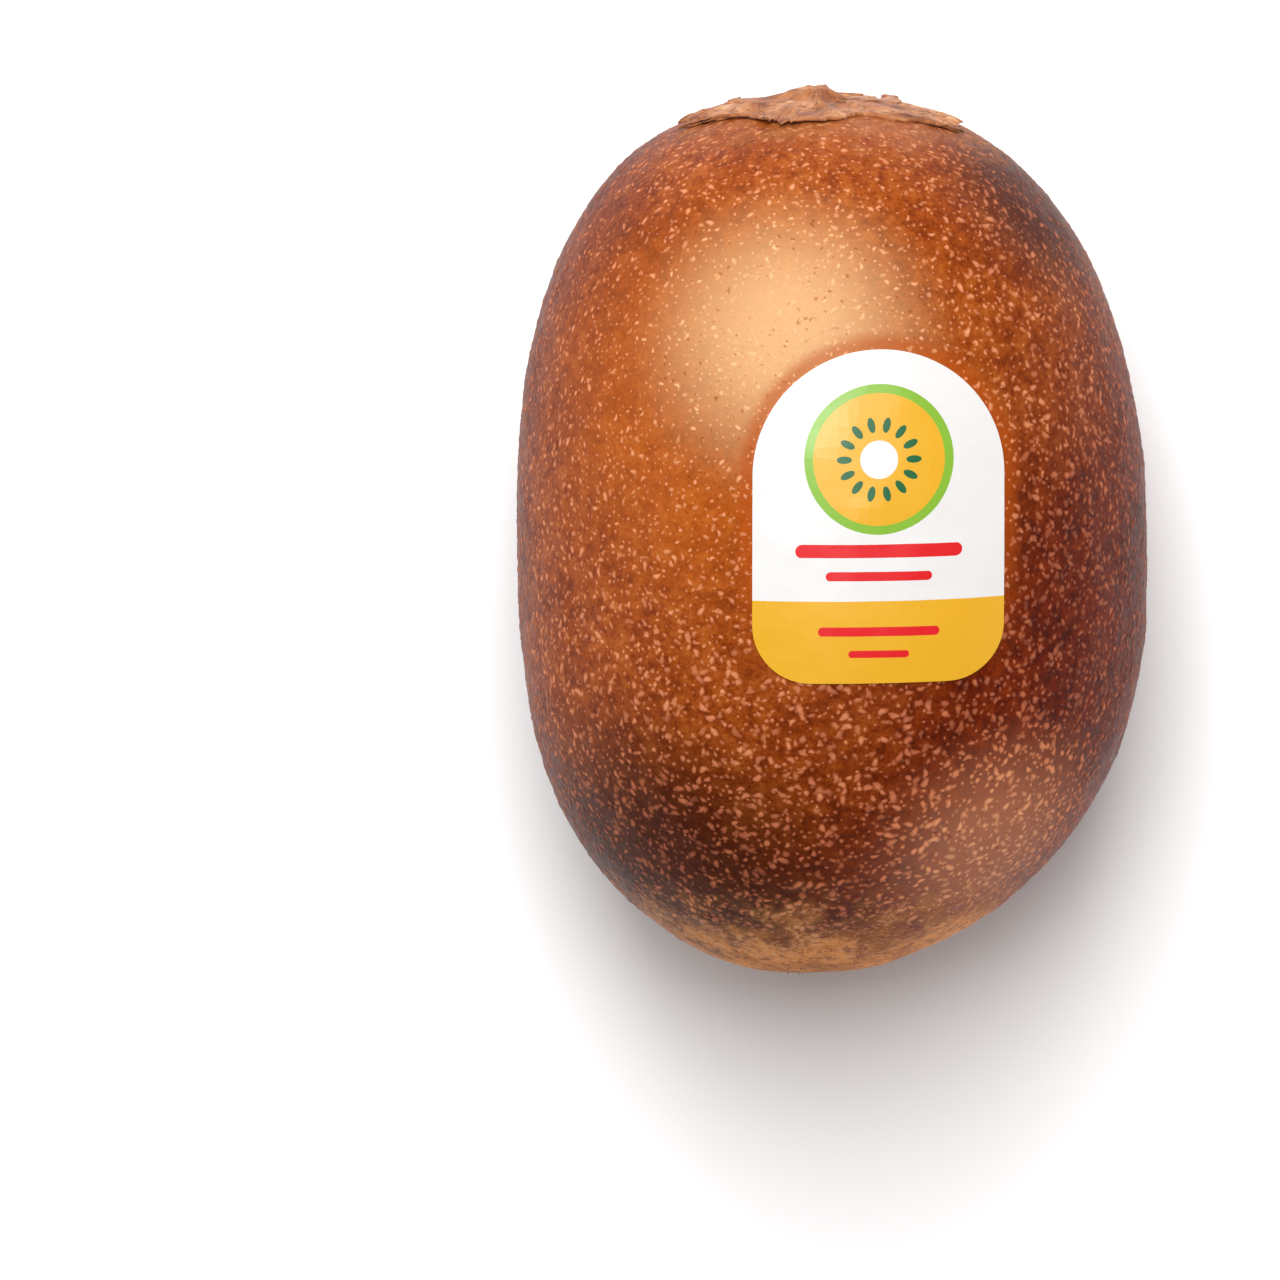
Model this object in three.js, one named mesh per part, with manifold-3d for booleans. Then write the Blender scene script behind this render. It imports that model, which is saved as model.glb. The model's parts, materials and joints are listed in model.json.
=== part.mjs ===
// A golden kiwi fruit lying on its side, in millimetres, +Z up, with its stem end at +Y.
// The origin is on the surface that it lies on, under the middle of the fruit.
import * as THREE from 'three';
import { mergeVertices } from 'three/addons/utils/BufferGeometryUtils.js';
import Module from 'manifold-3d';

const wasm = await Module();
wasm.setup();

// The fruit's body
const FRUIT_LENGTH = 71.3; // from pole to pole
const FRUIT_WIDTH = 51.1; // across the fruit as it lies
const FRUIT_HEIGHT = 49.7; // a little flatter than it is wide
const REST_FLAT_DEPTH = 0.3; // how far the skin gives where the fruit lies
const BOW = 1.6; // how far the middle bulges to one side
const LEAN = 0.4; // how far each pole stands off the straight axis
const SWAY = -0.9; // how far each half bulges on its own, the stem half towards -X
const STEM_END = { axial: 2.24, radial: 2.69 }; // blunt shoulders
const BLOSSOM_END = { axial: 2.74, radial: 1.72 }; // a longer taper
const BLOSSOM_DIMPLE = { depth: 1.7, radius: 3.4 }; // the hollow that holds the dried styles
const SWELLS = [
  { lobes: 3, size: 0.006, turn: 0.9 }, // fractions of the girth, and radians
  { lobes: 5, size: 0.0025, turn: 2.1 },
];
const SKIN_DETAIL = 14; // splits along each edge of the icosahedron
const HALVINGS = 50; // steps of the search for the skin along a ray

// The dried calyx on the stem end
const CALYX_GAP = 0.15; // clearance under the sepals
const STALK_SCAR = { baseRadius: 2.6, topRadius: 1.1, height: 1.05, sides: 16 };
const SCAR_BREAK = { tilt: 0.2, depth: 0.1, points: 5 }; // its top is slanted and ragged
const SEPALS = [
  // turn in degrees from +X towards +Z, as seen from the stem end's side; the rest in millimetres
  { turn: 14, length: 10.2, width: 9.4, tipLift: 0.1, cup: 0.2 },
  { turn: 94, length: 7.8, width: 7.8, tipLift: 0.6, cup: 0.4 },
  { turn: 158, length: 9.6, width: 8.8, tipLift: 0.2, cup: 0.3 },
  { turn: 229, length: 9.2, width: 9, tipLift: 0.2, cup: 0.25 },
  { turn: 301, length: 8.6, width: 8.4, tipLift: 0.4, cup: 0.3 },
];
const SEPAL_STEPS = { along: 8, across: 6 };
const SEPAL_ROOT = 0.7; // distance of each sepal's root from the axis
const SEPAL_THICKNESS = [0.75, 0.6]; // at the root and at the tip
const SEPAL_CUP = [0.3, 1]; // share of its cup at the root and at the tip
const SEPAL_SWELL = [0.22, 0.96]; // part of a sine's half wave that its outline follows
const SEPAL_TIP = { cut: 0.55, power: 6 }; // how much, and how late, it narrows further

// The dried styles on the blossom end, on a low round button
const BUTTON = { radius: 2.6, rise: 0.4, gap: 0.25, sides: 18 };
const BUTTON_PROFILE = [
  // shares of its radius and of its rise, from underneath, round the rim and over the top
  [0.4, 0],
  [1, 0],
  [1.02, 0.45],
  [0.67, 0.78],
  [0.33, 0.94],
];
const STYLES = {
  count: 15,
  sides: 5,
  radius: 0.32, // at the root
  taper: 0.55, // tip radius over root radius
  stagger: 0.6, // share of the spacing
  foot: 0.15, // height of each root above the button's underside
  reach: [0.95, 1.9], // distance of the root from the axis
  length: [0.24, 0.42],
  lean: [0.45, 0.9], // radians outwards
};
const STYLE_SEED = 7;

// The paper label
const LABEL = { width: 19.9, length: 26.3, cornerRadius: 4.5, gap: 0.12, thickness: 0.22 };
const LABEL_CENTRE = { x: 4.9, y: 5.05 }; // from the fruit's own axis and middle
const ARC_STEPS = 10; // segments in each rounded corner of its outline

const HALF_LENGTH = FRUIT_LENGTH / 2;
const STEM = 1; // the side of each pole along Y
const BLOSSOM = -1;
const endOf = (y) => (y >= 0 ? STEM_END : BLOSSOM_END);
const between = ([first, last], share) => first + (last - first) * share;

// Girth radius towards the angle turn, which runs from +X towards +Z
function girth(turn, inflate = 0) {
  const a = FRUIT_WIDTH / 2;
  const b = FRUIT_HEIGHT / 2;
  const oval = (a * b) / Math.hypot(b * Math.cos(turn), a * Math.sin(turn));
  const swell = SWELLS.reduce((sum, s) => sum + s.size * Math.cos(s.lobes * turn + s.turn), 1);
  return oval * swell + inflate;
}

// Sideways shift of the fruit's centre line at a place along it
function centreLine(y) {
  const along = y / HALF_LENGTH;
  return (BOW + SWAY * along) * (1 - along * along) + LEAN * along;
}

// How deep the blossom end is drawn in at a distance from the axis
function dimple(radius) {
  return BLOSSOM_DIMPLE.depth * Math.exp(-((radius / BLOSSOM_DIMPLE.radius) ** 2));
}

// The point where a ray from the fruit's centre leaves the skin, grown outwards by inflate
function skinAlong(direction, inflate = 0) {
  const end = endOf(direction.y);
  const turn = Math.atan2(direction.z, direction.x);
  const across = Math.hypot(direction.x, direction.z) / girth(turn, inflate);
  const along = Math.abs(direction.y) / (HALF_LENGTH + inflate);
  let near = 0;
  let far = FRUIT_LENGTH;
  for (let i = 0; i < HALVINGS; i++) {
    const reach = (near + far) / 2;
    const inside = (along * reach) ** end.axial + (across * reach) ** end.radial < 1;
    if (inside) near = reach;
    else far = reach;
  }
  const point = direction.clone().multiplyScalar(near);
  if (point.y < 0) point.y += dimple(Math.hypot(point.x, point.z));
  point.x += centreLine(point.y);
  return point;
}

// The point over the skin at a distance from the axis, near the pole on that side
function skinNearPole(side, radius, turn, lift) {
  const end = endOf(side);
  const share = radius / girth(turn);
  const hollow = side === BLOSSOM ? dimple(radius) : 0;
  const y = side * (HALF_LENGTH * (1 - share ** end.radial) ** (1 / end.axial) - hollow);
  return new THREE.Vector3(
    radius * Math.cos(turn) + centreLine(y),
    y + side * lift,
    radius * Math.sin(turn),
  );
}

// Repeatable numbers from 0 to 1
function seededRandom(seed) {
  let state = seed;
  return () => {
    state = (state * 1664525 + 1013904223) % 4294967296;
    return state / 4294967296;
  };
}

// A closed geometry as a solid for joins and cuts
function toSolid(geometry) {
  const bare = geometry.index ? geometry.toNonIndexed() : geometry.clone();
  bare.deleteAttribute('normal');
  bare.deleteAttribute('uv');
  const merged = mergeVertices(bare, 1e-4);
  return new wasm.Manifold(
    new wasm.Mesh({
      numProp: 3,
      vertProperties: merged.attributes.position.array,
      triVerts: new Uint32Array(merged.index.array),
    }),
  );
}

// A solid as a geometry for a mesh
function toGeometry(solid) {
  const mesh = solid.getMesh();
  const geometry = new THREE.BufferGeometry();
  geometry.setAttribute('position', new THREE.BufferAttribute(mesh.vertProperties, 3));
  geometry.setIndex(new THREE.BufferAttribute(mesh.triVerts, 1));
  geometry.computeVertexNormals();
  return geometry;
}

// The whole fruit as a smooth closed body, grown outwards by inflate
function bodySolid(inflate = 0) {
  const geometry = new THREE.IcosahedronGeometry(1, SKIN_DETAIL);
  const position = geometry.getAttribute('position');
  const direction = new THREE.Vector3();
  for (let i = 0; i < position.count; i++) {
    direction.fromBufferAttribute(position, i).normalize();
    const point = skinAlong(direction, inflate);
    position.setXYZ(i, point.x, point.y, point.z);
  }
  return toSolid(geometry);
}

// The body, flattened where it lies
function fruitSolid() {
  const body = bodySolid();
  const slab = new THREE.BoxGeometry(FRUIT_LENGTH, FRUIT_LENGTH, FRUIT_HEIGHT);
  const floor = body.boundingBox().min[2] + REST_FLAT_DEPTH;
  slab.translate(0, 0, floor - FRUIT_HEIGHT / 2);
  return body.subtract(toSolid(slab));
}

// A closed sheet between two grids of points: lower(i, j) and upper(i, j)
function sheetGeometry(rows, columns, lower, upper) {
  const points = [];
  for (const side of [lower, upper])
    for (let i = 0; i <= rows; i++)
      for (let j = 0; j <= columns; j++) points.push(side(i, j));
  const at = (top, i, j) => (top * (rows + 1) + i) * (columns + 1) + j;
  const faces = [];
  const quad = (a, b, c, d) => faces.push(a, b, c, a, c, d);
  for (let i = 0; i < rows; i++)
    for (let j = 0; j < columns; j++) {
      quad(at(1, i, j), at(1, i + 1, j), at(1, i + 1, j + 1), at(1, i, j + 1));
      quad(at(0, i, j), at(0, i, j + 1), at(0, i + 1, j + 1), at(0, i + 1, j));
    }
  for (let i = 0; i < rows; i++) {
    quad(at(0, i, 0), at(0, i + 1, 0), at(1, i + 1, 0), at(1, i, 0));
    quad(at(0, i + 1, columns), at(0, i, columns), at(1, i, columns), at(1, i + 1, columns));
  }
  for (let j = 0; j < columns; j++) {
    quad(at(0, 0, j + 1), at(0, 0, j), at(1, 0, j), at(1, 0, j + 1));
    quad(at(0, rows, j), at(0, rows, j + 1), at(1, rows, j + 1), at(1, rows, j));
  }
  const geometry = new THREE.BufferGeometry().setFromPoints(points);
  geometry.setIndex(faces);
  return geometry;
}

// Half width of a sepal along its length, from root 0 to tip 1: broad low down, then a rounded point
function sepalHalfWidth(sepal, along) {
  const outline = Math.sqrt(Math.sin(Math.PI * between(SEPAL_SWELL, along)));
  const tip = 1 - SEPAL_TIP.cut * along ** SEPAL_TIP.power;
  return (sepal.width / 2) * outline * tip;
}

// One dried sepal, lying on the shoulder with its tip lifted and its edges curled up
function sepalSolid(sepal) {
  const { along: rows, across: columns } = SEPAL_STEPS;
  const heading = THREE.MathUtils.degToRad(sepal.turn);
  const place = (i, j, extra) => {
    const along = i / rows;
    const side = 1 - (2 * j) / columns;
    const forward = SEPAL_ROOT + along * sepal.length;
    const sideways = side * sepalHalfWidth(sepal, along);
    const curl = sepal.cup * side * side * between(SEPAL_CUP, along);
    const lift = CALYX_GAP + sepal.tipLift * along ** 3 + curl + extra;
    const radius = Math.hypot(forward, sideways);
    return skinNearPole(STEM, radius, heading + Math.atan2(sideways, forward), lift);
  };
  const lower = (i, j) => place(i, j, 0);
  const upper = (i, j) => place(i, j, between(SEPAL_THICKNESS, i / rows));
  return toSolid(sheetGeometry(rows, columns, lower, upper));
}

// The broken stump where the stalk came away
function stalkScarSolid() {
  const { baseRadius, topRadius, height, sides } = STALK_SCAR;
  const stump = new THREE.CylinderGeometry(topRadius, baseRadius, height, sides, 2);
  const position = stump.getAttribute('position');
  for (let i = 0; i < position.count; i++) {
    const onTop = position.getY(i) > height / 4;
    if (!onTop) continue;
    const x = position.getX(i);
    const slant = SCAR_BREAK.tilt * (x / topRadius);
    const ragged = SCAR_BREAK.depth * Math.sin(SCAR_BREAK.points * Math.atan2(position.getZ(i), x));
    position.setY(i, position.getY(i) - slant - ragged);
  }
  const foot = skinNearPole(STEM, 0, 0, CALYX_GAP);
  stump.translate(foot.x, foot.y + height / 2, foot.z);
  return toSolid(stump);
}

function calyxSolid() {
  return SEPALS.map(sepalSolid).reduce((whole, sepal) => whole.add(sepal), stalkScarSolid());
}

// The low round button that the dried styles stand on
function buttonSolid() {
  const { radius, rise, gap, sides } = BUTTON;
  const points = [];
  for (const [share, height] of BUTTON_PROFILE)
    for (let k = 0; k < sides; k++) {
      const turn = (2 * Math.PI * k) / sides;
      points.push(skinNearPole(BLOSSOM, radius * share, turn, gap + rise * height));
    }
  const under = points.push(skinNearPole(BLOSSOM, 0, 0, gap)) - 1;
  const over = points.push(skinNearPole(BLOSSOM, 0, 0, gap + rise)) - 1;
  const last = (BUTTON_PROFILE.length - 1) * sides;
  const faces = [];
  for (let k = 0; k < sides; k++) {
    const next = (k + 1) % sides;
    faces.push(under, next, k);
    for (let from = 0; from < last; from += sides) {
      const to = from + sides;
      faces.push(from + k, from + next, to + next, from + k, to + next, to + k);
    }
    faces.push(over, last + k, last + next);
  }
  const geometry = new THREE.BufferGeometry().setFromPoints(points);
  geometry.setIndex(faces);
  return toSolid(geometry);
}

// One dried style: a thin tapered peg that leans outwards from the button
function styleSolid(index, random) {
  const turn = (2 * Math.PI * (index + STYLES.stagger * random())) / STYLES.count;
  const standing = between(STYLES.length, random());
  const { radius, taper, sides } = STYLES;
  const peg = new THREE.CylinderGeometry(radius * taper, radius, standing, sides);
  peg.translate(0, standing / 2, 0);
  const lean = between(STYLES.lean, random());
  const heading = new THREE.Vector3(
    Math.sin(lean) * Math.cos(turn),
    -Math.cos(lean),
    Math.sin(lean) * Math.sin(turn),
  );
  const up = new THREE.Vector3(0, 1, 0);
  peg.applyQuaternion(new THREE.Quaternion().setFromUnitVectors(up, heading));
  const reach = between(STYLES.reach, random());
  const foot = skinNearPole(BLOSSOM, reach, turn, BUTTON.gap + STYLES.foot);
  peg.translate(foot.x, foot.y, foot.z);
  return toSolid(peg);
}

function stylesSolid() {
  const random = seededRandom(STYLE_SEED);
  let tuft = buttonSolid();
  for (let i = 0; i < STYLES.count; i++) tuft = tuft.add(styleSolid(i, random));
  return tuft;
}

// The label's outline: square below with rounded corners, and a half-round top
function labelOutline() {
  const { width, length, cornerRadius: r } = LABEL;
  const half = width / 2;
  const foot = -length / 2;
  const shape = new THREE.Shape();
  shape.moveTo(-half + r, foot);
  shape.lineTo(half - r, foot);
  shape.absarc(half - r, foot + r, r, -Math.PI / 2, 0, false);
  shape.lineTo(half, length / 2 - half);
  shape.absarc(0, length / 2 - half, half, 0, Math.PI, false);
  shape.lineTo(-half, foot + r);
  shape.absarc(-half + r, foot + r, r, Math.PI, 1.5 * Math.PI, false);
  return shape;
}

// The label: a thin skin over the fruit, cut to the outline from above
function labelSolid() {
  const { gap, thickness } = LABEL;
  const cutter = new THREE.ExtrudeGeometry(labelOutline(), {
    depth: FRUIT_HEIGHT,
    bevelEnabled: false,
    curveSegments: ARC_STEPS,
  });
  cutter.translate(LABEL_CENTRE.x, LABEL_CENTRE.y, 0);
  return bodySolid(gap + thickness).subtract(bodySolid(gap)).intersect(toSolid(cutter));
}

function part(name, solid, colour, roughness) {
  const material = new THREE.MeshStandardMaterial({ color: colour, roughness, metalness: 0 });
  const mesh = new THREE.Mesh(toGeometry(solid), material);
  mesh.name = name;
  return mesh;
}

const kiwi = new THREE.Group();
kiwi.add(part('fruit', fruitSolid(), '#8a4420', 0.5));
kiwi.add(part('dried_calyx', calyxSolid(), '#a8724a', 0.85));
kiwi.add(part('dried_styles', stylesSolid(), '#4a2c1c', 0.9));
kiwi.add(part('label', labelSolid(), '#f4f1ee', 0.35));

// Sets the origin under the middle of the whole fruit, on the surface that it lies on
const bounds = new THREE.Box3().setFromObject(kiwi);
const middle = bounds.getCenter(new THREE.Vector3());
kiwi.position.set(-middle.x, -middle.y, -bounds.min.z);

export default kiwi;
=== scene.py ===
# %% [markdown]
# A golden kiwi fruit lies on its side on a white table. It has a smooth brown skin, freckled with pale
# raised pores, a dried calyx at the stem end, dried styles at the other end and a small paper label.
# The solid model of the fruit is loaded first. It fixes where everything is, and each piece below is a
# finer version of one of its nodes, made in the same place.

# %% Load the solid model as a fixed frame
import json
import math
import random

import bmesh
import bpy
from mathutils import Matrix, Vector, noise
from mathutils.bvhtree import BVHTree
from mathutils.geometry import delaunay_2d_cdt

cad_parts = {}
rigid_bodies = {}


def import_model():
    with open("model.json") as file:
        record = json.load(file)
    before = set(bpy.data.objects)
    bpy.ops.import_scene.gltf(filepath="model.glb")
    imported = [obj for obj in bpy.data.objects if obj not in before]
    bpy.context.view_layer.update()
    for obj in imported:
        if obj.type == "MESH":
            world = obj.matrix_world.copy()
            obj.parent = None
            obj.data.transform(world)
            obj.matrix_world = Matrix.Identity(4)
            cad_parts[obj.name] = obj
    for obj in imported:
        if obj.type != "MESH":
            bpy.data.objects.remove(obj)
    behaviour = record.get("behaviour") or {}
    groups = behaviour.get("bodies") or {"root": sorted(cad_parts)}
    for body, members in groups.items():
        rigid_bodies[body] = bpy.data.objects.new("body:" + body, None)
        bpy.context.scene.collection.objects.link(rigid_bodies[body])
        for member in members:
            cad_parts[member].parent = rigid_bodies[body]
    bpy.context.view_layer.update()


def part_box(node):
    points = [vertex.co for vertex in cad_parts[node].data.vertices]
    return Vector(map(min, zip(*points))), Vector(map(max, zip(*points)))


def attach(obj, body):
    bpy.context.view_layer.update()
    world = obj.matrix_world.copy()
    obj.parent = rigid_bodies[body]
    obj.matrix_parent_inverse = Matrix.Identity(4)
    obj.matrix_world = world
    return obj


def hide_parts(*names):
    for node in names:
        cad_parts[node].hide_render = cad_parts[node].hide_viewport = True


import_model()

MM = 0.001
scene = bpy.context.scene
fruit_low, fruit_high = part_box("fruit")
print("fruit", [round(side / MM, 1) for side in fruit_high - fruit_low], "mm")

# %% [markdown]
# Two small tools are used all the way through. Colours are given as the hex codes that a screen shows,
# but light adds up in linear numbers, so one function turns the one into the other. The other adds any
# node with its settings and whatever feeds it, so that a material or a tree reads as a short list of
# steps.

# %% Colours and nodes
def linear(code):
    """A hex colour as linear red, green, blue and alpha."""
    shown = [int(code[i : i + 2], 16) / 255 for i in (1, 3, 5)]
    return [c / 12.92 if c <= 0.04045 else ((c + 0.055) / 1.055) ** 2.4 for c in shown] + [1.0]


def add(tree, kind, inputs=None, ramp=None, **settings):
    """Adds a node. An input is a plain value, or the node or socket that feeds it."""
    node = tree.nodes.new(kind)
    for name, value in settings.items():
        setattr(node, name, value)
    for key, value in (inputs or {}).items():
        socket = node.inputs[key]
        if isinstance(key, str):
            socket = next(s for s in node.inputs if s.name == key and s.enabled)
        if isinstance(value, bpy.types.Node):
            value = next(s for s in value.outputs if s.enabled)
        if isinstance(value, bpy.types.NodeSocket):
            tree.links.new(value, socket)
        else:
            socket.default_value = value
    for i, (place, colour) in enumerate(ramp or []):
        elements = node.color_ramp.elements
        stop = elements[i] if i < len(elements) else elements.new(place)
        stop.position = place
        stop.color = linear(colour)
    return node


print("middle grey", [round(c, 3) for c in linear("#808080")[:3]])

# %% [markdown]
# Geometry Nodes shape what follows a rule, such as the skin, and what repeats, such as its pores. A tree
# gets its sizes by name, so that the same tree can run again with others. Running it on a plain carrier
# and keeping the outcome as a mesh leaves nothing live behind: no modifier and no copies that an export
# would drop.

# %% Geometry node trees
def start_tree(name, inputs):
    """A geometry node tree with named inputs. Returns it and the sockets that bring them in."""
    tree = bpy.data.node_groups.new(name, "GeometryNodeTree")
    for label, kind in inputs.items():
        tree.interface.new_socket(name=label, in_out="INPUT", socket_type="NodeSocket" + kind)
    tree.interface.new_socket(name="Geometry", in_out="OUTPUT", socket_type="NodeSocketGeometry")
    return tree, tree.nodes.new("NodeGroupInput").outputs


def end_tree(tree, shape, material):
    """Makes copies real, gives them their material and hands them out."""
    real = add(tree, "GeometryNodeRealizeInstances", {"Geometry": shape})
    dressed = add(tree, "GeometryNodeSetMaterial", {"Geometry": real, "Material": material})
    add(tree, "NodeGroupOutput", {"Geometry": dressed})


def run_tree(name, tree, values, source=None):
    """Runs a tree with these input values, on a source mesh or on none, and keeps the mesh."""
    start = source.data.copy() if source else bpy.data.meshes.new(name)
    carrier = bpy.data.objects.new(name + "_carrier", start)
    scene.collection.objects.link(carrier)
    modifier = carrier.modifiers.new("Shape", "NODES")
    modifier.node_group = tree
    for item in tree.interface.items_tree:
        if item.in_out == "INPUT" and item.name in values:
            modifier[item.identifier] = values[item.name]
    evaluated = carrier.evaluated_get(bpy.context.evaluated_depsgraph_get())
    mesh = bpy.data.meshes.new_from_object(evaluated)
    bpy.data.objects.remove(carrier)
    mesh.shade_smooth()
    return add_piece(name, mesh)


def add_piece(name, mesh):
    """A mesh as an object at the origin, unturned."""
    piece = bpy.data.objects.new(name, mesh)
    mesh.name = name
    scene.collection.objects.link(piece)
    return piece


def triangles(piece):
    """How many triangles the piece has."""
    return sum(len(face.vertices) - 2 for face in piece.data.polygons)


print("ready to run trees in", scene.name)

# %% [markdown]
# Every finish below starts in the same way: one Principled shader and the object's own coordinates. A
# pattern on these stays on its piece whatever the camera does, and needs no unwrapping.

# %% The start of a material
def new_material(name, **settings):
    """A material with a Principled shader. Returns it, its tree, the shader and Object coordinates."""
    material = bpy.data.materials.new(name)
    material.use_nodes = True
    tree = material.node_tree
    shader = tree.nodes["Principled BSDF"]
    for socket, value in settings.items():
        shader.inputs[socket.replace("_", " ")].default_value = value
    place = add(tree, "ShaderNodeTexCoord").outputs["Object"]
    return material, tree, shader, place


print("materials so far:", len(bpy.data.materials))

# %% [markdown]
# The skin of a golden kiwi is thin, smooth and nearly hairless: a red brown over golden flesh, more
# golden on the side that had the sun. A painted picture would show that, but noise at real sizes has no
# seam and needs no file. What noise can't know is where the colour changes, so that is written down
# first. There are two warm sides, whose golden brown is partly the skin's own and partly painted light on
# the upper sides. There are also soft round patches: a painted highlight, golden and pale, on the
# shoulder with a painted orange glow round it, a dark red-brown patch on the upper right shoulder, a
# painted shadow on the lower left flank and a painted dull pink sheen near the blossom end.

# %% Where the skin changes colour
MIDDLE = (fruit_low + fruit_high) / 2
RED_BROWNS = ("#3e0d02", "#5b1902", "#742905")  # from the darkest spots to the lightest
GOLD_BROWNS = ("#702b05", "#90400e", "#aa5a20")
# the golden brown here is partly the skin's own and partly painted light on the upper sides towards the
# left and the stem end
GOLDEN_AND_LIT_SIDES = [
    # direction, and where along it the warmer brown begins and is full
    (Vector((-0.62, 0.00, 0.78)), 10 * MM, 27 * MM),
    (Vector((0.20, 0.75, 0.63)), 14 * MM, 32 * MM),
]
COLOUR_AND_PAINTED_LIGHT_PATCHES = [
    # middle in millimetres from the fruit's own, where it ends and is full, colour and strength
    # a painted warm orange glow round the highlight, reaching down the left flank
    ((-8, 14, 20), 21, 9.0, "#b55a14", 0.36),
    # a painted highlight, golden and pale, on the shoulder
    ((-4, 18.5, 21), 14.5, 1.5, "#d5a674", 0.85),
    # a dark red-brown patch on the upper right shoulder
    ((17, 29, 6), 12.5, 4.0, "#3c0f02", 0.85),
    # a painted shadow on the lower left flank
    ((-12, -25, 12), 19, 7.0, "#280902", 0.8),
    # a painted dull pink sheen near the blossom end
    ((13, -23, 16), 13, 2.0, "#ad6c4c", 0.70),
]
print("patches of colour:", len(COLOUR_AND_PAINTED_LIGHT_PATCHES))

# %% [markdown]
# A few patterns make every colour here, and each is a share between 0 and 1. Noise of a real size gives
# spots with soft edges, and the same noise cut thin gives cracks. How far a place reaches towards a side,
# or how far it is from a spot, tells where on the fruit it is. Colours are then laid over one another by
# these shares, as thin washes of paint are.

# %% Spots, cracks, sides and washes
def grain(place, size, detail=2.0, roughness=0.5):
    """What a noise node needs for spots that are about size metres apart."""
    return {"Vector": place, "Scale": 1 / size, "Detail": detail, "Roughness": roughness}


def spots(tree, place, size, start, end, detail=2.0, roughness=0.5):
    """Soft-edged spots: 0 where the noise is under start, and 1 where it is over end."""
    level = add(tree, "ShaderNodeTexNoise", grain(place, size, detail, roughness))
    edge = {"Value": level, "From Min": start, "From Max": end}
    return add(tree, "ShaderNodeMapRange", edge, interpolation_type="SMOOTHSTEP")


def cracks(tree, place, size, width):
    """Is 1, and falls to 0 along thin lines that wander about size metres apart."""
    web = add(tree, "ShaderNodeTexNoise", grain(place, size, detail=4.0, roughness=0.6))
    off = add(tree, "ShaderNodeMath", {0: web, 1: 0.5}, operation="SUBTRACT")
    off = add(tree, "ShaderNodeMath", {0: off}, operation="ABSOLUTE")
    edge = {"Value": off, "From Min": 0.0, "From Max": width}
    return add(tree, "ShaderNodeMapRange", edge, interpolation_type="SMOOTHSTEP")


def towards(tree, place, direction, start, end, least=0.0):
    """Goes smoothly from least to 1 as a place reaches from start to end in a direction."""
    reach = add(tree, "ShaderNodeVectorMath", {0: place, 1: direction}, operation="DOT_PRODUCT")
    edge = {"Value": reach.outputs["Value"], "From Min": start, "From Max": end, "To Min": least}
    return add(tree, "ShaderNodeMapRange", edge, interpolation_type="SMOOTHSTEP")


def round_spot(tree, place, spot, start, end, most=1.0):
    """Goes smoothly from 0 to most as the distance from a spot goes from start to end."""
    apart = add(tree, "ShaderNodeVectorMath", {0: place, 1: spot}, operation="DISTANCE")
    edge = {"Value": apart.outputs["Value"], "From Min": start, "From Max": end, "To Max": most}
    return add(tree, "ShaderNodeMapRange", edge, interpolation_type="SMOOTHSTEP")


def off_axis(tree, centred):
    """How far a place is from the fruit's long axis."""
    flat = add(tree, "ShaderNodeVectorMath", {0: centred, 1: (1, 0, 1)}, operation="MULTIPLY")
    return add(tree, "ShaderNodeVectorMath", {0: flat}, operation="LENGTH").outputs["Value"]


def washes(tree, colour, layers):
    """Lays colours over the first one in turn, each as strongly as its share says."""
    for share, tint in layers:
        below, above = [linear(c) if isinstance(c, str) else c for c in (colour, tint)]
        inputs = {"Factor": share, "A": below, "B": above}
        colour = add(tree, "ShaderNodeMix", inputs, data_type="RGBA").outputs[2]
    return colour


print("fruit's middle", [round(c / MM, 1) for c in MIDDLE], "mm")

# %% [markdown]
# A thin rim of painted orange glow, as of light thrown back from the white paper, lies on the skin round
# the upper part of the label. No pore may poke through the paper. Both need to know how far a place is
# outside the label. The label is a strip with a half-round top, so a little sum gives that distance.

# %% Distance from the label
label_low, label_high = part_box("label")
LABEL_SIZE = label_high - label_low
LABEL_MIDDLE = (label_low + label_high) / 2
LABEL_RADIUS = LABEL_SIZE.x / 2  # of its half-round top
LABEL_ARCH = label_high.y - LABEL_RADIUS  # where the half-round top begins


def past_label_edge(tree, place):
    """How far a place is outside the label's outline, seen from above: a strip with a round top."""
    parts = add(tree, "ShaderNodeSeparateXYZ", {"Vector": place}).outputs
    x = add(tree, "ShaderNodeMath", {0: parts["X"], 1: LABEL_MIDDLE.x}, operation="SUBTRACT")
    above = add(tree, "ShaderNodeMath", {0: parts["Y"], 1: LABEL_ARCH}, operation="SUBTRACT")
    above = add(tree, "ShaderNodeMath", {0: above, 1: 0.0}, operation="MAXIMUM")
    spot = add(tree, "ShaderNodeCombineXYZ", {"X": x, "Y": above})
    reach = add(tree, "ShaderNodeVectorMath", {0: spot}, operation="LENGTH").outputs["Value"]
    past = add(tree, "ShaderNodeMath", {0: reach, 1: LABEL_RADIUS}, operation="SUBTRACT")
    below = add(tree, "ShaderNodeMath", {0: label_low.y, 1: parts["Y"]}, operation="SUBTRACT")
    under = add(tree, "ShaderNodeMath", {0: MIDDLE.z, 1: parts["Z"]}, operation="SUBTRACT")
    past = add(tree, "ShaderNodeMath", {0: past, 1: below}, operation="MAXIMUM")
    return add(tree, "ShaderNodeMath", {0: past, 1: under}, operation="MAXIMUM")


print("label", [round(side / MM, 1) for side in LABEL_SIZE], "mm")

# %% [markdown]
# Broad blotches, fine mottling and tiny grain are added up into one tone, and one ramp turns the tone
# into browns. Two ramps of it, a red and a gold one, are mixed towards the warm sides, which are partly
# painted light. The patches are washed over them, and most of them are painted highlight, glow, shadow
# and sheen.

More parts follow.
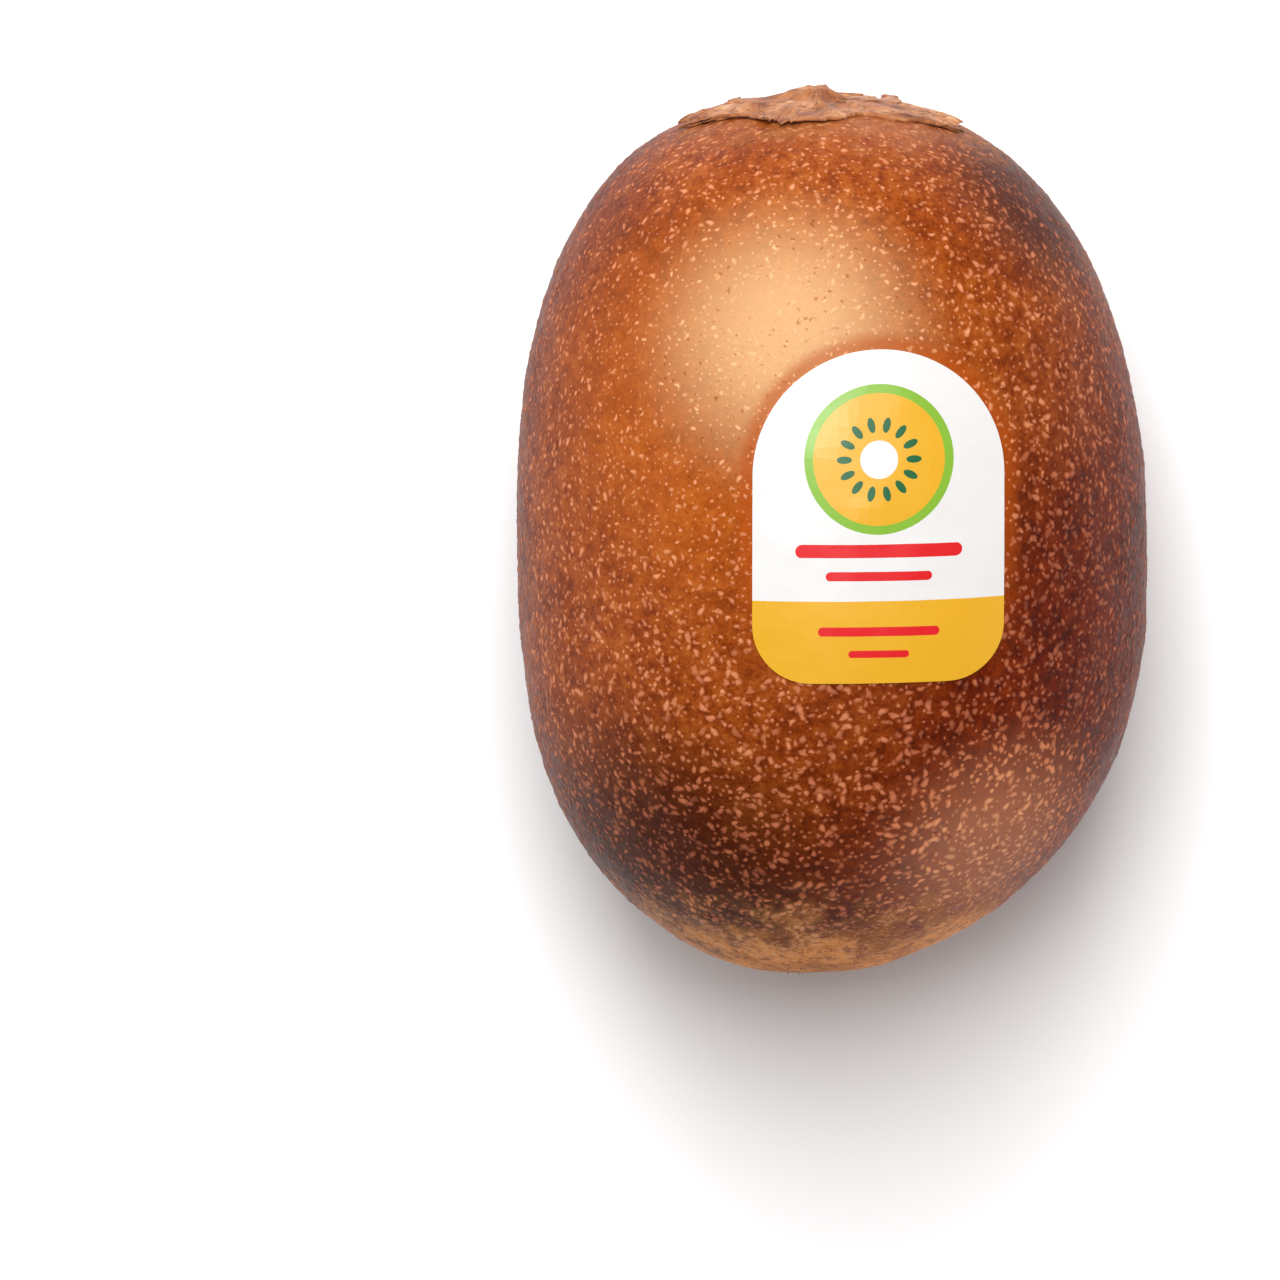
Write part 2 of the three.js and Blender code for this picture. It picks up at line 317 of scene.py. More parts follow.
# %% Browns of the skin
MOTTLING = [
    # share of the tone, size in millimetres, detail and roughness
    (0.25, 7.0, 3.0, 0.5),
    (0.50, 1.1, 4.0, 0.65),
    (0.25, 0.30, 3.0, 0.5),
]
TONES = (0.40, 0.50, 0.62)  # where the darkest, the middle and the lightest brown are


def mottled_browns(tree, place, centred):
    """The browns with their patches of colour, painted highlight, painted shadow and painted sheen,
    before anything smaller.
    """
    tone = 0.0
    for share, size, detail, roughness in MOTTLING:
        mottle = add(tree, "ShaderNodeTexNoise", grain(place, size * MM, detail, roughness))
        tone = add(tree, "ShaderNodeMath", {0: mottle, 1: share, 2: tone}, operation="MULTIPLY_ADD")
    red, gold = [
        add(tree, "ShaderNodeValToRGB", {"Fac": tone}, ramp=list(zip(TONES, colours))).outputs[0]
        for colours in (RED_BROWNS, GOLD_BROWNS)
    ]
    # partly painted light: the gold browns go on the upper sides that face the lamps
    sides = [towards(tree, centred, *side) for side in GOLDEN_AND_LIT_SIDES]
    golden_and_lit = add(tree, "ShaderNodeMath", {0: sides[0], 1: sides[1]}, operation="MAXIMUM")
    layers = [(golden_and_lit, gold)]
    # these patches lay painted highlight, glow, shadow and sheen into the skin's colour
    for middle, end, full, tint, strength in COLOUR_AND_PAINTED_LIGHT_PATCHES:
        spot = Vector(middle) * MM
        layers.append((round_spot(tree, centred, spot, end * MM, full * MM, strength), tint))
    return washes(tree, red, layers)


print("browns:", len(RED_BROWNS) + len(GOLD_BROWNS))

# %% [markdown]
# Three small things break the browns up. Tiny dark flecks lie between the pores and only darken what is
# there, because one colour for all of them looks painted on. Where the fruit rests, its pores are pressed
# flat and show as specks with no height. A painted orange glow, as of light thrown back from the paper,
# runs round the upper part of the label.

# %% Flecks, pressed specks and the painted glow round the label
FLECKS = (0.70, 0.52, 0.40)  # how much of the red, green and blue is left in a dark fleck
PRESSED_TAN = "#a05a38"
PRESSED_HEIGHT = 0.30 * MM
# painted light: an orange glow thrown back from the paper onto the skin round the label's upper part
LABEL_GLOW_ORANGE = "#a3460a"
LABEL_GLOW_STRENGTH = 0.65
LABEL_GLOW_ENDS, LABEL_GLOW_FULL = 1.7 * MM, 0.4 * MM  # from the label's edge


def small_marks(tree, place, centred, colour):
    """The colour with its flecks, its pressed specks and the painted glow round the label."""
    fleck = spots(tree, place, 0.55 * MM, 0.63, 0.74)
    darker = add(tree, "ShaderNodeVectorMath", {0: colour, 1: FLECKS}, operation="MULTIPLY")
    low = towards(tree, place, Vector((0, 0, -1)), -PRESSED_HEIGHT, -PRESSED_HEIGHT / 3)
    specks = spots(tree, place, 0.85 * MM, 0.58, 0.63, detail=1.0)
    pressed = add(tree, "ShaderNodeMath", {0: low, 1: specks}, operation="MULTIPLY")
    past = past_label_edge(tree, place)
    edge = {"Value": past, "From Min": LABEL_GLOW_ENDS, "From Max": LABEL_GLOW_FULL, "To Max": LABEL_GLOW_STRENGTH}
    near = add(tree, "ShaderNodeMapRange", edge, interpolation_type="SMOOTHSTEP")
    upper = towards(tree, centred, Vector((0, 1, 0)), -9 * MM, 5 * MM)
    # the rim is a painted glow along the label's upper edge
    rim = add(tree, "ShaderNodeMath", {0: near, 1: upper}, operation="MULTIPLY")
    return washes(tree, colour, [(fleck, darker), (pressed, PRESSED_TAN), (rim, LABEL_GLOW_ORANGE)])


print("rim", round((LABEL_GLOW_ENDS - LABEL_GLOW_FULL) / MM, 1), "mm wide")

# %% [markdown]
# Both ends are corky. A matt ring lies round the calyx, and the other end has a tan cap that is browner
# round the styles. A clean circle would look painted, so noise moves each edge in and out by several
# millimetres. The crust is flaky, worn in places and split by thin cracks. The pores use the same
# function as the skin, so that their edges melt into whatever colour is round them.

# %% Corky ends
CRACK_BROWN = "#84492a"
WORN_BROWN = "#a5652f"
CORKY_ENDS = [
    # side along the fruit, radius in millimetres where it ends and is full, colour and strength
    (1, 13.5, 8.0, "#a8663f", 0.60),
    (-1, 20.5, 9.5, "#d8904e", 0.92),
    (-1, 7.5, 2.5, "#7a4622", 0.75),
]
CORK_BEGINS, CORK_FULL = 24 * MM, 31 * MM  # along the fruit from its middle
EDGE_WANDER = 22 * MM


def ragged_radius(tree, place, centred):
    """The distance from the long axis, moved in and out by noise."""
    patchy = add(tree, "ShaderNodeTexNoise", grain(place, 3.5 * MM, detail=4.0, roughness=0.7))
    moved = {0: patchy, 1: EDGE_WANDER, 2: -EDGE_WANDER / 2}
    wander = add(tree, "ShaderNodeMath", moved, operation="MULTIPLY_ADD")
    return add(tree, "ShaderNodeMath", {0: off_axis(tree, centred), 1: wander}, operation="ADD")


def skin_colours(tree, place):
    """The skin's colour, and how corky it is there."""
    centred = add(tree, "ShaderNodeVectorMath", {0: place, 1: MIDDLE}, operation="SUBTRACT")
    colour = small_marks(tree, place, centred, mottled_browns(tree, place, centred))
    radius = ragged_radius(tree, place, centred)
    flaky = spots(tree, place, 0.9 * MM, 0.34, 0.48, detail=5.0, roughness=0.75)
    whole = cracks(tree, place, 2.4 * MM, 0.018)
    crusted = add(tree, "ShaderNodeMath", {0: flaky, 1: whole}, operation="MULTIPLY")
    fresh = spots(tree, place, 5 * MM, 0.38, 0.56, detail=5.0, roughness=0.7)
    cork = 0.0
    for side, end, full, tint, strength in CORKY_ENDS:
        near = towards(tree, centred, Vector((0, side, 0)), CORK_BEGINS, CORK_FULL)
        edge = {"Value": radius, "From Min": end * MM, "From Max": full * MM, "To Max": strength}
        ring = add(tree, "ShaderNodeMapRange", edge, interpolation_type="SMOOTHSTEP")
        here = add(tree, "ShaderNodeMath", {0: near, 1: ring}, operation="MULTIPLY")
        crust = washes(tree, WORN_BROWN, [(fresh, tint)])
        split = washes(tree, CRACK_BROWN, [(crusted, crust)])
        colour = washes(tree, colour, [(here, split)])
        cork = add(tree, "ShaderNodeMath", {0: here, 1: cork}, operation="MAXIMUM")
    return colour, cork


print("corky rings:", len(CORKY_ENDS))

# %% [markdown]
# The finish is a thin waxless fruit skin. It isn't shiny like an apple's, so its specular level is far
# below that of polished things, and its roughness wanders between satin and matt, which breaks the
# window's reflection up into a soft glow. A low peel of half-millimetre bumps ruffles that glow, and the
# corky ends are duller still.

# %% Skin finish
SATIN, DULL = 0.36, 0.50
CORK_DULLER = 0.2
PEEL_DEPTH = 0.085 * MM


def skin_material():
    """Satin skin: it gives the eye a soft, broken glow instead of a sharp reflection."""
    material, tree, shader, place = new_material(
        "thin satin kiwi skin", IOR=1.45, Specular_IOR_Level=0.10
    )
    colour, cork = skin_colours(tree, place)
    tree.links.new(colour, shader.inputs["Base Color"])
    patchy = add(tree, "ShaderNodeTexNoise", grain(place, 0.8 * MM, detail=3.0))
    spread = {"Value": patchy, "From Min": 0.3, "From Max": 0.7, "To Min": SATIN, "To Max": DULL}
    satin = add(tree, "ShaderNodeMapRange", spread)
    matt = add(tree, "ShaderNodeMath", {0: cork, 1: CORK_DULLER, 2: satin}, operation="MULTIPLY_ADD")
    tree.links.new(matt.outputs[0], shader.inputs["Roughness"])
    peel = add(tree, "ShaderNodeTexNoise", grain(place, 0.55 * MM, detail=4.0, roughness=0.6))
    bump = add(tree, "ShaderNodeBump", {"Height": peel, "Distance": PEEL_DEPTH, "Strength": 1.0})
    tree.links.new(bump.outputs[0], shader.inputs["Normal"])
    return material


skin_finish = skin_material()
print("skin finish:", len(skin_finish.node_tree.nodes), "nodes")

# %% [markdown]
# The fruit is a barrel that is blunt at the stem end and longer and more tapered at the other end, with
# a little bow along its length. A sphere scaled along one axis would have the wrong shoulders. A better
# rule is a superellipsoid: a point is on the skin where its share of the length, to one power, and its
# share of the girth, to another, add up to one. Each half has its own two powers. The tree starts from a
# cube whose grid is pushed out onto a sphere, so that there are no crowded poles, and finds how far the
# skin is along each direction by Newton's method in a repeat zone.

# %% Sizes of the skin's shape
BODY = {
    "Length": 71.3 * MM,
    "Width": 51.1 * MM,
    "Height": 49.7 * MM,
    "Bow": 1.6 * MM,
    "Lean": 0.4 * MM,
    "Sway": -0.9 * MM,
    "Stem axial": 2.24,
    "Stem radial": 2.69,
    "Blossom axial": 2.74,
    "Blossom radial": 1.72,
    "Dimple depth": 1.7 * MM,
    "Dimple radius": 3.4 * MM,
    "Give": 0.15 * MM,
    "Dent size": 8.0 * MM,
    "Dent height": 0.0,
    "Peel size": 1.9 * MM,
    "Peel height": 0.0,
}
SWELLS = [(3, 0.9, 0.006), (5, 2.1, 0.0025)]  # lobes, turn in radians, share of the girth
print("body", [round(BODY[side] / MM, 1) for side in ("Width", "Length", "Height")], "mm")

# %% [markdown]
# The cube's grid gives evenly spread directions once its points are moved by a tangent, which takes out
# the crowding towards the cube's corners. Across the length a real fruit is not quite an oval: a few low
# swells go round it.

# %% Directions and girth
GRID_POINTS = 119


def direction_grid(tree):
    """A cube's grid and, for each of its points, an evenly spread direction."""
    grid = {"Size": (2, 2, 2)} | {"Vertices " + axis: GRID_POINTS for axis in "XYZ"}
    cube = add(tree, "GeometryNodeMeshCube", grid)
    place = add(tree, "GeometryNodeInputPosition")
    quarter = {0: place, "Scale": math.pi / 4}
    angles = add(tree, "ShaderNodeVectorMath", quarter, operation="SCALE")
    even = add(tree, "ShaderNodeVectorMath", {0: angles}, operation="TANGENT")
    return cube.outputs["Mesh"], add(tree, "ShaderNodeVectorMath", {0: even}, operation="NORMALIZE")


def girth_rule(tree, size, parts):
    """The girth's radius in the direction that the parts give: an oval with a few low swells."""
    across = add(tree, "ShaderNodeCombineXYZ", {"X": parts["X"], "Z": parts["Z"]})
    around = add(tree, "ShaderNodeVectorMath", {0: across}, operation="NORMALIZE")
    full = add(tree, "ShaderNodeCombineXYZ", {"X": size["Width"], "Y": 1.0, "Z": size["Height"]})
    share = add(tree, "ShaderNodeVectorMath", {0: around, 1: full}, operation="DIVIDE")
    length = add(tree, "ShaderNodeVectorMath", {0: share}, operation="LENGTH").outputs["Value"]
    girth = add(tree, "ShaderNodeMath", {0: 0.5, 1: length}, operation="DIVIDE")
    turn = add(tree, "ShaderNodeMath", {0: parts["Z"], 1: parts["X"]}, operation="ARCTAN2")
    swell = 1.0
    for lobes, start, height in SWELLS:
        phase = add(tree, "ShaderNodeMath", {0: turn, 1: lobes, 2: start}, operation="MULTIPLY_ADD")
        wave = add(tree, "ShaderNodeMath", {0: phase}, operation="COSINE")
        swell = add(tree, "ShaderNodeMath", {0: wave, 1: height, 2: swell}, operation="MULTIPLY_ADD")
    radius = add(tree, "ShaderNodeMath", {0: girth, 1: swell}, operation="MULTIPLY")
    return across, radius


print("grid:", 6 * GRID_POINTS**2, "points before the cube's edges are shared")

# %% [markdown]
# There is no plain formula for how far the skin is in a direction, because the two powers differ. A
# guess is made from an oval, and a repeat zone mends it a few times by the slope of the error. Nine
# rounds bring it far below a thousandth of a millimetre.

# %% How far the skin is in each direction
NEWTON_STEPS = 9


def powers_for_end(tree, size, parts):
    """The two powers of the half that a direction points to."""
    ahead = {"A": parts["Y"], "B": 0.0}
    is_stem = add(tree, "FunctionNodeCompare", ahead, operation="GREATER_EQUAL")
    powers = []
    for word in ("axial", "radial"):
        choice = {"Switch": is_stem, "False": size["Blossom " + word], "True": size["Stem " + word]}
        powers.append(add(tree, "GeometryNodeSwitch", choice, input_type="FLOAT"))
    return powers


def reach_rule(tree, along, across, axial, radial):
    """Newton's method for the distance at which the two powered shares add up to one."""
    guess = add(tree, "ShaderNodeCombineXYZ", {"X": along, "Y": across})
    guess = add(tree, "ShaderNodeVectorMath", {0: guess}, operation="LENGTH").outputs["Value"]
    guess = add(tree, "ShaderNodeMath", {0: 1.0, 1: guess}, operation="DIVIDE")
    begin = add(tree, "GeometryNodeRepeatInput")
    end = add(tree, "GeometryNodeRepeatOutput")
    begin.pair_with_output(end)
    end.repeat_items.clear()
    end.repeat_items.new("FLOAT", "Reach")
    begin.inputs["Iterations"].default_value = NEWTON_STEPS
    tree.links.new(guess.outputs[0], begin.inputs["Reach"])
    reach = begin.outputs["Reach"]
    total, slope = -1.0, 0.0
    for share, power in ((along, axial), (across, radial)):
        part = add(tree, "ShaderNodeMath", {0: share, 1: reach}, operation="MULTIPLY")
        raised = add(tree, "ShaderNodeMath", {0: part, 1: power}, operation="POWER")
        total = add(tree, "ShaderNodeMath", {0: raised, 1: total}, operation="ADD")
        slope = add(tree, "ShaderNodeMath", {0: raised, 1: power, 2: slope}, operation="MULTIPLY_ADD")
    error = add(tree, "ShaderNodeMath", {0: total, 1: slope}, operation="DIVIDE")
    keep = add(tree, "ShaderNodeMath", {0: 1.0, 1: error}, operation="SUBTRACT")
    better = add(tree, "ShaderNodeMath", {0: reach, 1: keep}, operation="MULTIPLY")
    tree.links.new(better.outputs[0], end.inputs["Reach"])
    return end.outputs["Reach"]


print("rounds:", NEWTON_STEPS)

# %% [markdown]
# A fruit grows with a bow along its length, a hollow where its styles were, and low dents. Where it
# lies, its ripe skin gives a little: nothing may go below the table, and a soft maximum rounds the edge
# of the flat spot as a soft skin would.

# %% Bow, hollow, dents and the flat spot
def bend_rule(tree, size, point, half):
    """Draws the blossom end in a little and bows the whole length sideways."""
    parts = add(tree, "ShaderNodeSeparateXYZ", {"Vector": point}).outputs
    radius = off_axis(tree, point)
    share = add(tree, "ShaderNodeMath", {0: radius, 1: size["Dimple radius"]}, operation="DIVIDE")
    square = add(tree, "ShaderNodeMath", {0: share, 1: share}, operation="MULTIPLY")
    minus = add(tree, "ShaderNodeMath", {0: square, 1: -1.0}, operation="MULTIPLY")
    bell = add(tree, "ShaderNodeMath", {0: minus}, operation="EXPONENT")
    deep = add(tree, "ShaderNodeMath", {0: bell, 1: size["Dimple depth"]}, operation="MULTIPLY")
    below = add(tree, "ShaderNodeMath", {0: parts["Y"], 1: 0.0}, operation="LESS_THAN")
    y = add(tree, "ShaderNodeMath", {0: deep, 1: below, 2: parts["Y"]}, operation="MULTIPLY_ADD")
    along = add(tree, "ShaderNodeMath", {0: y, 1: half}, operation="DIVIDE")
    swayed = {0: along, 1: size["Sway"], 2: size["Bow"]}
    bow = add(tree, "ShaderNodeMath", swayed, operation="MULTIPLY_ADD")
    squared = add(tree, "ShaderNodeMath", {0: along, 1: along}, operation="MULTIPLY")
    left = add(tree, "ShaderNodeMath", {0: 1.0, 1: squared}, operation="SUBTRACT")
    x = add(tree, "ShaderNodeMath", {0: bow, 1: left, 2: parts["X"]}, operation="MULTIPLY_ADD")
    x = add(tree, "ShaderNodeMath", {0: along, 1: size["Lean"], 2: x}, operation="MULTIPLY_ADD")
    return add(tree, "ShaderNodeCombineXYZ", {"X": x, "Y": y, "Z": parts["Z"]})


def push_out(tree, shape, size, word):
    """Raises and lowers the surface along its normal by noise."""
    pitch = add(tree, "ShaderNodeMath", {0: 1.0, 1: size[word + " size"]}, operation="DIVIDE")
    bumps = add(tree, "ShaderNodeTexNoise", {"Scale": pitch, "Detail": 2.0})
    level = add(tree, "ShaderNodeMath", {0: bumps, 1: 0.5}, operation="SUBTRACT")
    lift = add(tree, "ShaderNodeMath", {0: level, 1: size[word + " height"]}, operation="MULTIPLY")
    normal = add(tree, "GeometryNodeInputNormal")
    offset = add(tree, "ShaderNodeVectorMath", {0: normal, "Scale": lift}, operation="SCALE")
    return add(tree, "GeometryNodeSetPosition", {"Geometry": shape, "Offset": offset})


def rest_on_table(tree, shape, size):
    """Nothing goes below the table: the skin flattens softly where it rests."""
    place = add(tree, "GeometryNodeInputPosition")
    parts = add(tree, "ShaderNodeSeparateXYZ", {"Vector": place}).outputs
    z = add(tree, "ShaderNodeMath", {0: parts["Z"], 1: 0.0, 2: size["Give"]}, operation="SMOOTH_MAX")
    lifted = add(tree, "ShaderNodeCombineXYZ", {"X": parts["X"], "Y": parts["Y"], "Z": z})
    return add(tree, "GeometryNodeSetPosition", {"Geometry": shape, "Position": lifted})


print("give", round(BODY["Give"] / MM, 2), "mm")

# %% [markdown]
# Now the rules are joined in one tree. A point's length and girth are measured as shares of the full
# ones, the reach puts it on the skin, and then it is bent, moved to its place, dented and laid down.

# %% The tree of the skin's shape
def body_tree():
    """The whole shape rule, with every size as a named input."""
    inputs = {name: "Float" for name in BODY} | {"Place": "Vector", "Material": "Material"}
    tree, size = start_tree("kiwi body", inputs)
    grid, direction = direction_grid(tree)
    parts = add(tree, "ShaderNodeSeparateXYZ", {"Vector": direction}).outputs
    sideways, girth = girth_rule(tree, size, parts)
    axial, radial = powers_for_end(tree, size, parts)
    half = add(tree, "ShaderNodeMath", {0: size["Length"], 1: 2.0}, operation="DIVIDE")
    lengthways = add(tree, "ShaderNodeMath", {0: parts["Y"]}, operation="ABSOLUTE")
    along = add(tree, "ShaderNodeMath", {0: lengthways, 1: half}, operation="DIVIDE")
    wide = add(tree, "ShaderNodeVectorMath", {0: sideways}, operation="LENGTH").outputs["Value"]
    across = add(tree, "ShaderNodeMath", {0: wide, 1: girth}, operation="DIVIDE")
    reach = reach_rule(tree, along, across, axial, radial)
    point = add(tree, "ShaderNodeVectorMath", {0: direction, "Scale": reach}, operation="SCALE")
    bent = bend_rule(tree, size, point, half)
    placed = add(tree, "ShaderNodeVectorMath", {0: bent, 1: size["Place"]}, operation="ADD")
    shape = add(tree, "GeometryNodeSetPosition", {"Geometry": grid, "Position": placed})
    shape = push_out(tree, shape, size, "Dent")
    shape = push_out(tree, shape, size, "Peel")
    shape = rest_on_table(tree, shape, size)
    end_tree(tree, shape, size["Material"])
    return tree


kiwi_body = body_tree()
print("body rule:", len(kiwi_body.nodes), "nodes")

# %% [markdown]
# The rule gives the fruit round its own middle. The solid model says where the fruit is, so the tree
# runs twice: once to measure the plain shape, and once more moved to where the solid is, with the low
# dents and the orange peel that real skin has. The dents are wide and a tenth of a millimetre deep, so
# they only bend the highlights.

# %% The skin itself
HIGH_UP = Vector((0, 0, 1))  # a place far above the table, so that nothing is pressed flat there
test = run_tree("measure", kiwi_body, BODY | {"Place": HIGH_UP[:]})
test_high = [max(v.co[axis] for v in test.data.vertices) for axis in range(3)]
bpy.data.objects.remove(test)
body_place = fruit_high - Vector(test_high) + HIGH_UP
RELIEF = {"Dent height": 0.5 * MM, "Peel height": 0.07 * MM}
placed = {"Place": body_place[:], "Material": skin_finish}
skin = run_tree("skin", kiwi_body, BODY | RELIEF | placed)
print("skin:", triangles(skin), "triangles, middle at", [round(c / MM, 2) for c in body_place])

# %% [markdown]
# Everything else lies on the skin, so it has to know where the skin is. A tree of its faces answers
# where a straight line meets it: down from above for the label, and along the fruit for the two ends.

# %% Where a line meets the skin
skin_surface = BVHTree.FromObject(skin, bpy.context.evaluated_depsgraph_get())


def skin_from_above(x, y):
    """The point and normal of the skin's top at x, y."""
    return skin_surface.ray_cast(Vector((x, y, 1.0)), Vector((0, 0, -1)))[:2]


def skin_from_end(x, z, side):
    """The point and normal of the skin seen from one end: side 1 is the stem's."""
    return skin_surface.ray_cast(Vector((x, side * 1.0, z)), Vector((0, -side, 0)))[:2]


top_point, _ = skin_from_above(body_place.x, body_place.y)
print("top of the skin", round(top_point.z / MM, 1), "mm above the table")

# %% [markdown]
# The pale freckles are lenticels, the pores that the skin breathes through. Each is a speck of cork a
# few tenths of a millimetre across that stands a little out of the skin. As a picture or as bump alone
# they would vanish from the mesh, so each is a real low dome. There are thousands, so the small ones
# have only six triangles and the large ones two dozen. A few outlines of each, from round to bent and
# ragged, are enough, because every copy is turned and sized by chance.

# %% Lenticel shapes
SMALL_DOMES = {
    "rings": [(1.0, -0.15, 0.0)],  # share of the radius, height, and how pale the cork is there
    "rim points": 6,
    "shapes": [(1.0, 0.0, 0.08), (1.2, 0.0, 0.10), (1.4, 0.1, 0.10)],  # stretch, bend, raggedness
}
LARGE_DOMES = {
    "rings": [(1.0, -0.15, 0.0), (0.5, 0.75, 0.75)],
    "rim points": 8,
    "shapes": [
        (1.0, 0.0, 0.10),
        (1.1, 0.1, 0.16),
        (1.2, 0.0, 0.20),
        (1.3, 0.1, 0.22),
        (1.4, -0.1, 0.16),
        (1.5, 0.2, 0.22),
        (1.7, -0.2, 0.14),
    ],
}


def lenticel_shape(name, chance, domes, stretch, bend, ragged):
    """One unit-sized dome: its rim is just sunk, and its crown marks where the cork is palest."""
    rings, rim = domes["rings"], domes["rim points"]
    phases = [chance.uniform(0, 2 * math.pi) for _ in range(2)]
    outline = []
    for k in range(rim):
        turn = 2 * math.pi * k / rim
        radius = 1 + ragged * (math.cos(2 * turn + phases[0]) + math.cos(3 * turn + phases[1]))
        x = radius * math.cos(turn) * stretch
        outline.append((x, radius * math.sin(turn) + bend * (x * x / stretch**2 - 0.4)))
    points = [(x * share, y * share, height) for share, height, _ in rings for x, y in outline]
    top = len(points)
    points.append((0.0, -0.2 * bend, 1.0))
    faces = []
    for k in range(rim):
        after = (k + 1) % rim
        last = top - rim
        faces.append((last + k, last + after, top))
        if len(rings) > 1:
            faces.append((k, after, rim + after, rim + k))
    mesh = bpy.data.meshes.new(name)
    mesh.from_pydata(points, [], faces)
    crown = mesh.attributes.new("crown", "FLOAT", "POINT")
    crown.data.foreach_set("value", [c for _, _, c in rings for _ in outline] + [1.0])
    return bpy.data.objects.new(name, mesh)


def lenticel_kinds(name, domes):
    """A collection of the shapes to scatter."""
    chance = random.Random(40)
    kinds = bpy.data.collections.new(name)
    for index, shape in enumerate(domes["shapes"]):
        kinds.objects.link(lenticel_shape(f"{name}_{index}", chance, domes, *shape))
    return kinds


small_kinds = lenticel_kinds("small_lenticel", SMALL_DOMES)
large_kinds = lenticel_kinds("large_lenticel", LARGE_DOMES)

# %% [markdown]
# Cork is paler and duller than the skin that it breaks through. Its colour starts as the skin's own at
# the rim and turns to tan at the crown, by the crown value that each dome carries. The tan follows the
# paleness of the skin round it, since one tan for all would glare on the dark flanks. A second value, one
# for each dome, makes some fainter than others, and on the corky ends they fade into the crust. As the
# skin's colour holds its painted highlight, glow, shadow and sheen, the pores carry these too. Their
# palest tan, in the painted highlight, is painted highlight as well.

# %% Lenticel finish
CORK_TANS = [
    # paleness of the skin round it, and the cork's own colour there
    (0.06, "#6b3a2b"),
    (0.12, "#ae6040"),
    (0.24, "#d4875c"),
    # reached only in the painted highlight, so this palest tan is painted highlight on the pores there
    (0.44, "#dfab7c"),
]
FAINTEST = 0.5  # strength of the faintest lenticel
LEFT_ON_CORK = 0.15  # strength that is left on the corky ends
CORK_SATIN, CORK_MATT = 0.38, 0.62


def cork_tan(tree, colour):
    """The tan of the cork, from the paleness of the skin round it."""
    green = add(tree, "ShaderNodeSeparateColor", {"Color": colour}).outputs["Green"]
    paleness = add(tree, "ShaderNodeMath", {0: green, 1: 0.5}, operation="POWER")
    return add(tree, "ShaderNodeValToRGB", {"Fac": paleness}, ramp=CORK_TANS).outputs[0]


def cork_share(tree, cork):
    """How much of the tan shows: most at the crown, less on faint ones and on the corky ends."""
    crown = add(tree, "ShaderNodeAttribute", attribute_name="crown").outputs["Fac"]
    tint = add(tree, "ShaderNodeAttribute", attribute_name="tint").outputs["Fac"]
    faint = {"Value": tint, "To Min": FAINTEST}
    strength = add(tree, "ShaderNodeMapRange", faint, interpolation_type="SMOOTHSTEP")
    left = {"Value": cork, "To Min": 1.0, "To Max": LEFT_ON_CORK}
    fading = add(tree, "ShaderNodeMapRange", left)
    strength = add(tree, "ShaderNodeMath", {0: strength, 1: fading}, operation="MULTIPLY")
    soft = add(tree, "ShaderNodeMapRange", {"Value": crown}, interpolation_type="SMOOTHSTEP")
    return add(tree, "ShaderNodeMath", {0: soft, 1: strength}, operation="MULTIPLY")


def lenticel_material():
    """Dry cork: it gives the eye pale matt specks whose edges melt into the skin."""
    material, tree, shader, place = new_material(
        "pale corky lenticel", IOR=1.45, Specular_IOR_Level=0.12
    )
    # the skin's colours carry its painted highlight, glow, shadow and sheen onto the pores
    colour, cork = skin_colours(tree, place)
    speckled = washes(tree, colour, [(cork_share(tree, cork), cork_tan(tree, colour))])
    tree.links.new(speckled, shader.inputs["Base Color"])
    flaky = add(tree, "ShaderNodeTexNoise", grain(place, 0.12 * MM))
    spread = {"Value": flaky, "To Min": CORK_SATIN, "To Max": CORK_MATT}
    dry = add(tree, "ShaderNodeMapRange", spread)
    tree.links.new(dry.outputs[0], shader.inputs["Roughness"])
    bump = add(tree, "ShaderNodeBump", {"Height": flaky, "Distance": 0.012 * MM, "Strength": 1.0})
    tree.links.new(bump.outputs[0], shader.inputs["Normal"])
    return material


lenticel_finish = lenticel_material()
print("lenticel finish:", len(lenticel_finish.node_tree.nodes), "nodes")

# %% [markdown]
# A seeded tree puts one point on the skin for every lenticel and keeps the points apart. There are none
# under the label, under the calyx, on the corky cap and on the spot where the fruit rests, because a
# dome there would poke through or be pressed flat. On this fruit they are fewest and smallest on the
# shoulder beside the label, and they grow and run together towards the far end of the right flank.

# %% Where lenticels grow
SMOOTH_SPOT = MIDDLE + Vector((-6, 15, 20)) * MM  # the lenticels are fewest and smallest here
GROWING_SIDE = Vector((0.60, -0.78, -0.15))  # and largest on this side
LEAST_GROWN = 0.6
STEM_POLE, BLOSSOM_POLE = fruit_high.y, fruit_low.y
CALYX_REACH = 7.0 * MM  # bare round the stem end, at the pole's own height
CAP_REACH = 12.0 * MM  # bare round the blossom end
LABEL_OVERLAP = 0.1 * MM  # how far a lenticel's middle may be under the label's edge
REST_HEIGHT = 0.2 * MM


def how_grown(tree, place, centred):
    """How large and dense the lenticels are: small on the smooth spot, large on the growing side."""
    sideways = towards(tree, centred, GROWING_SIDE, -24 * MM, 16 * MM, LEAST_GROWN)
    away = round_spot(tree, place, SMOOTH_SPOT, 9 * MM, 26 * MM)
    return add(tree, "ShaderNodeMath", {0: sideways, 1: away}, operation="MULTIPLY")


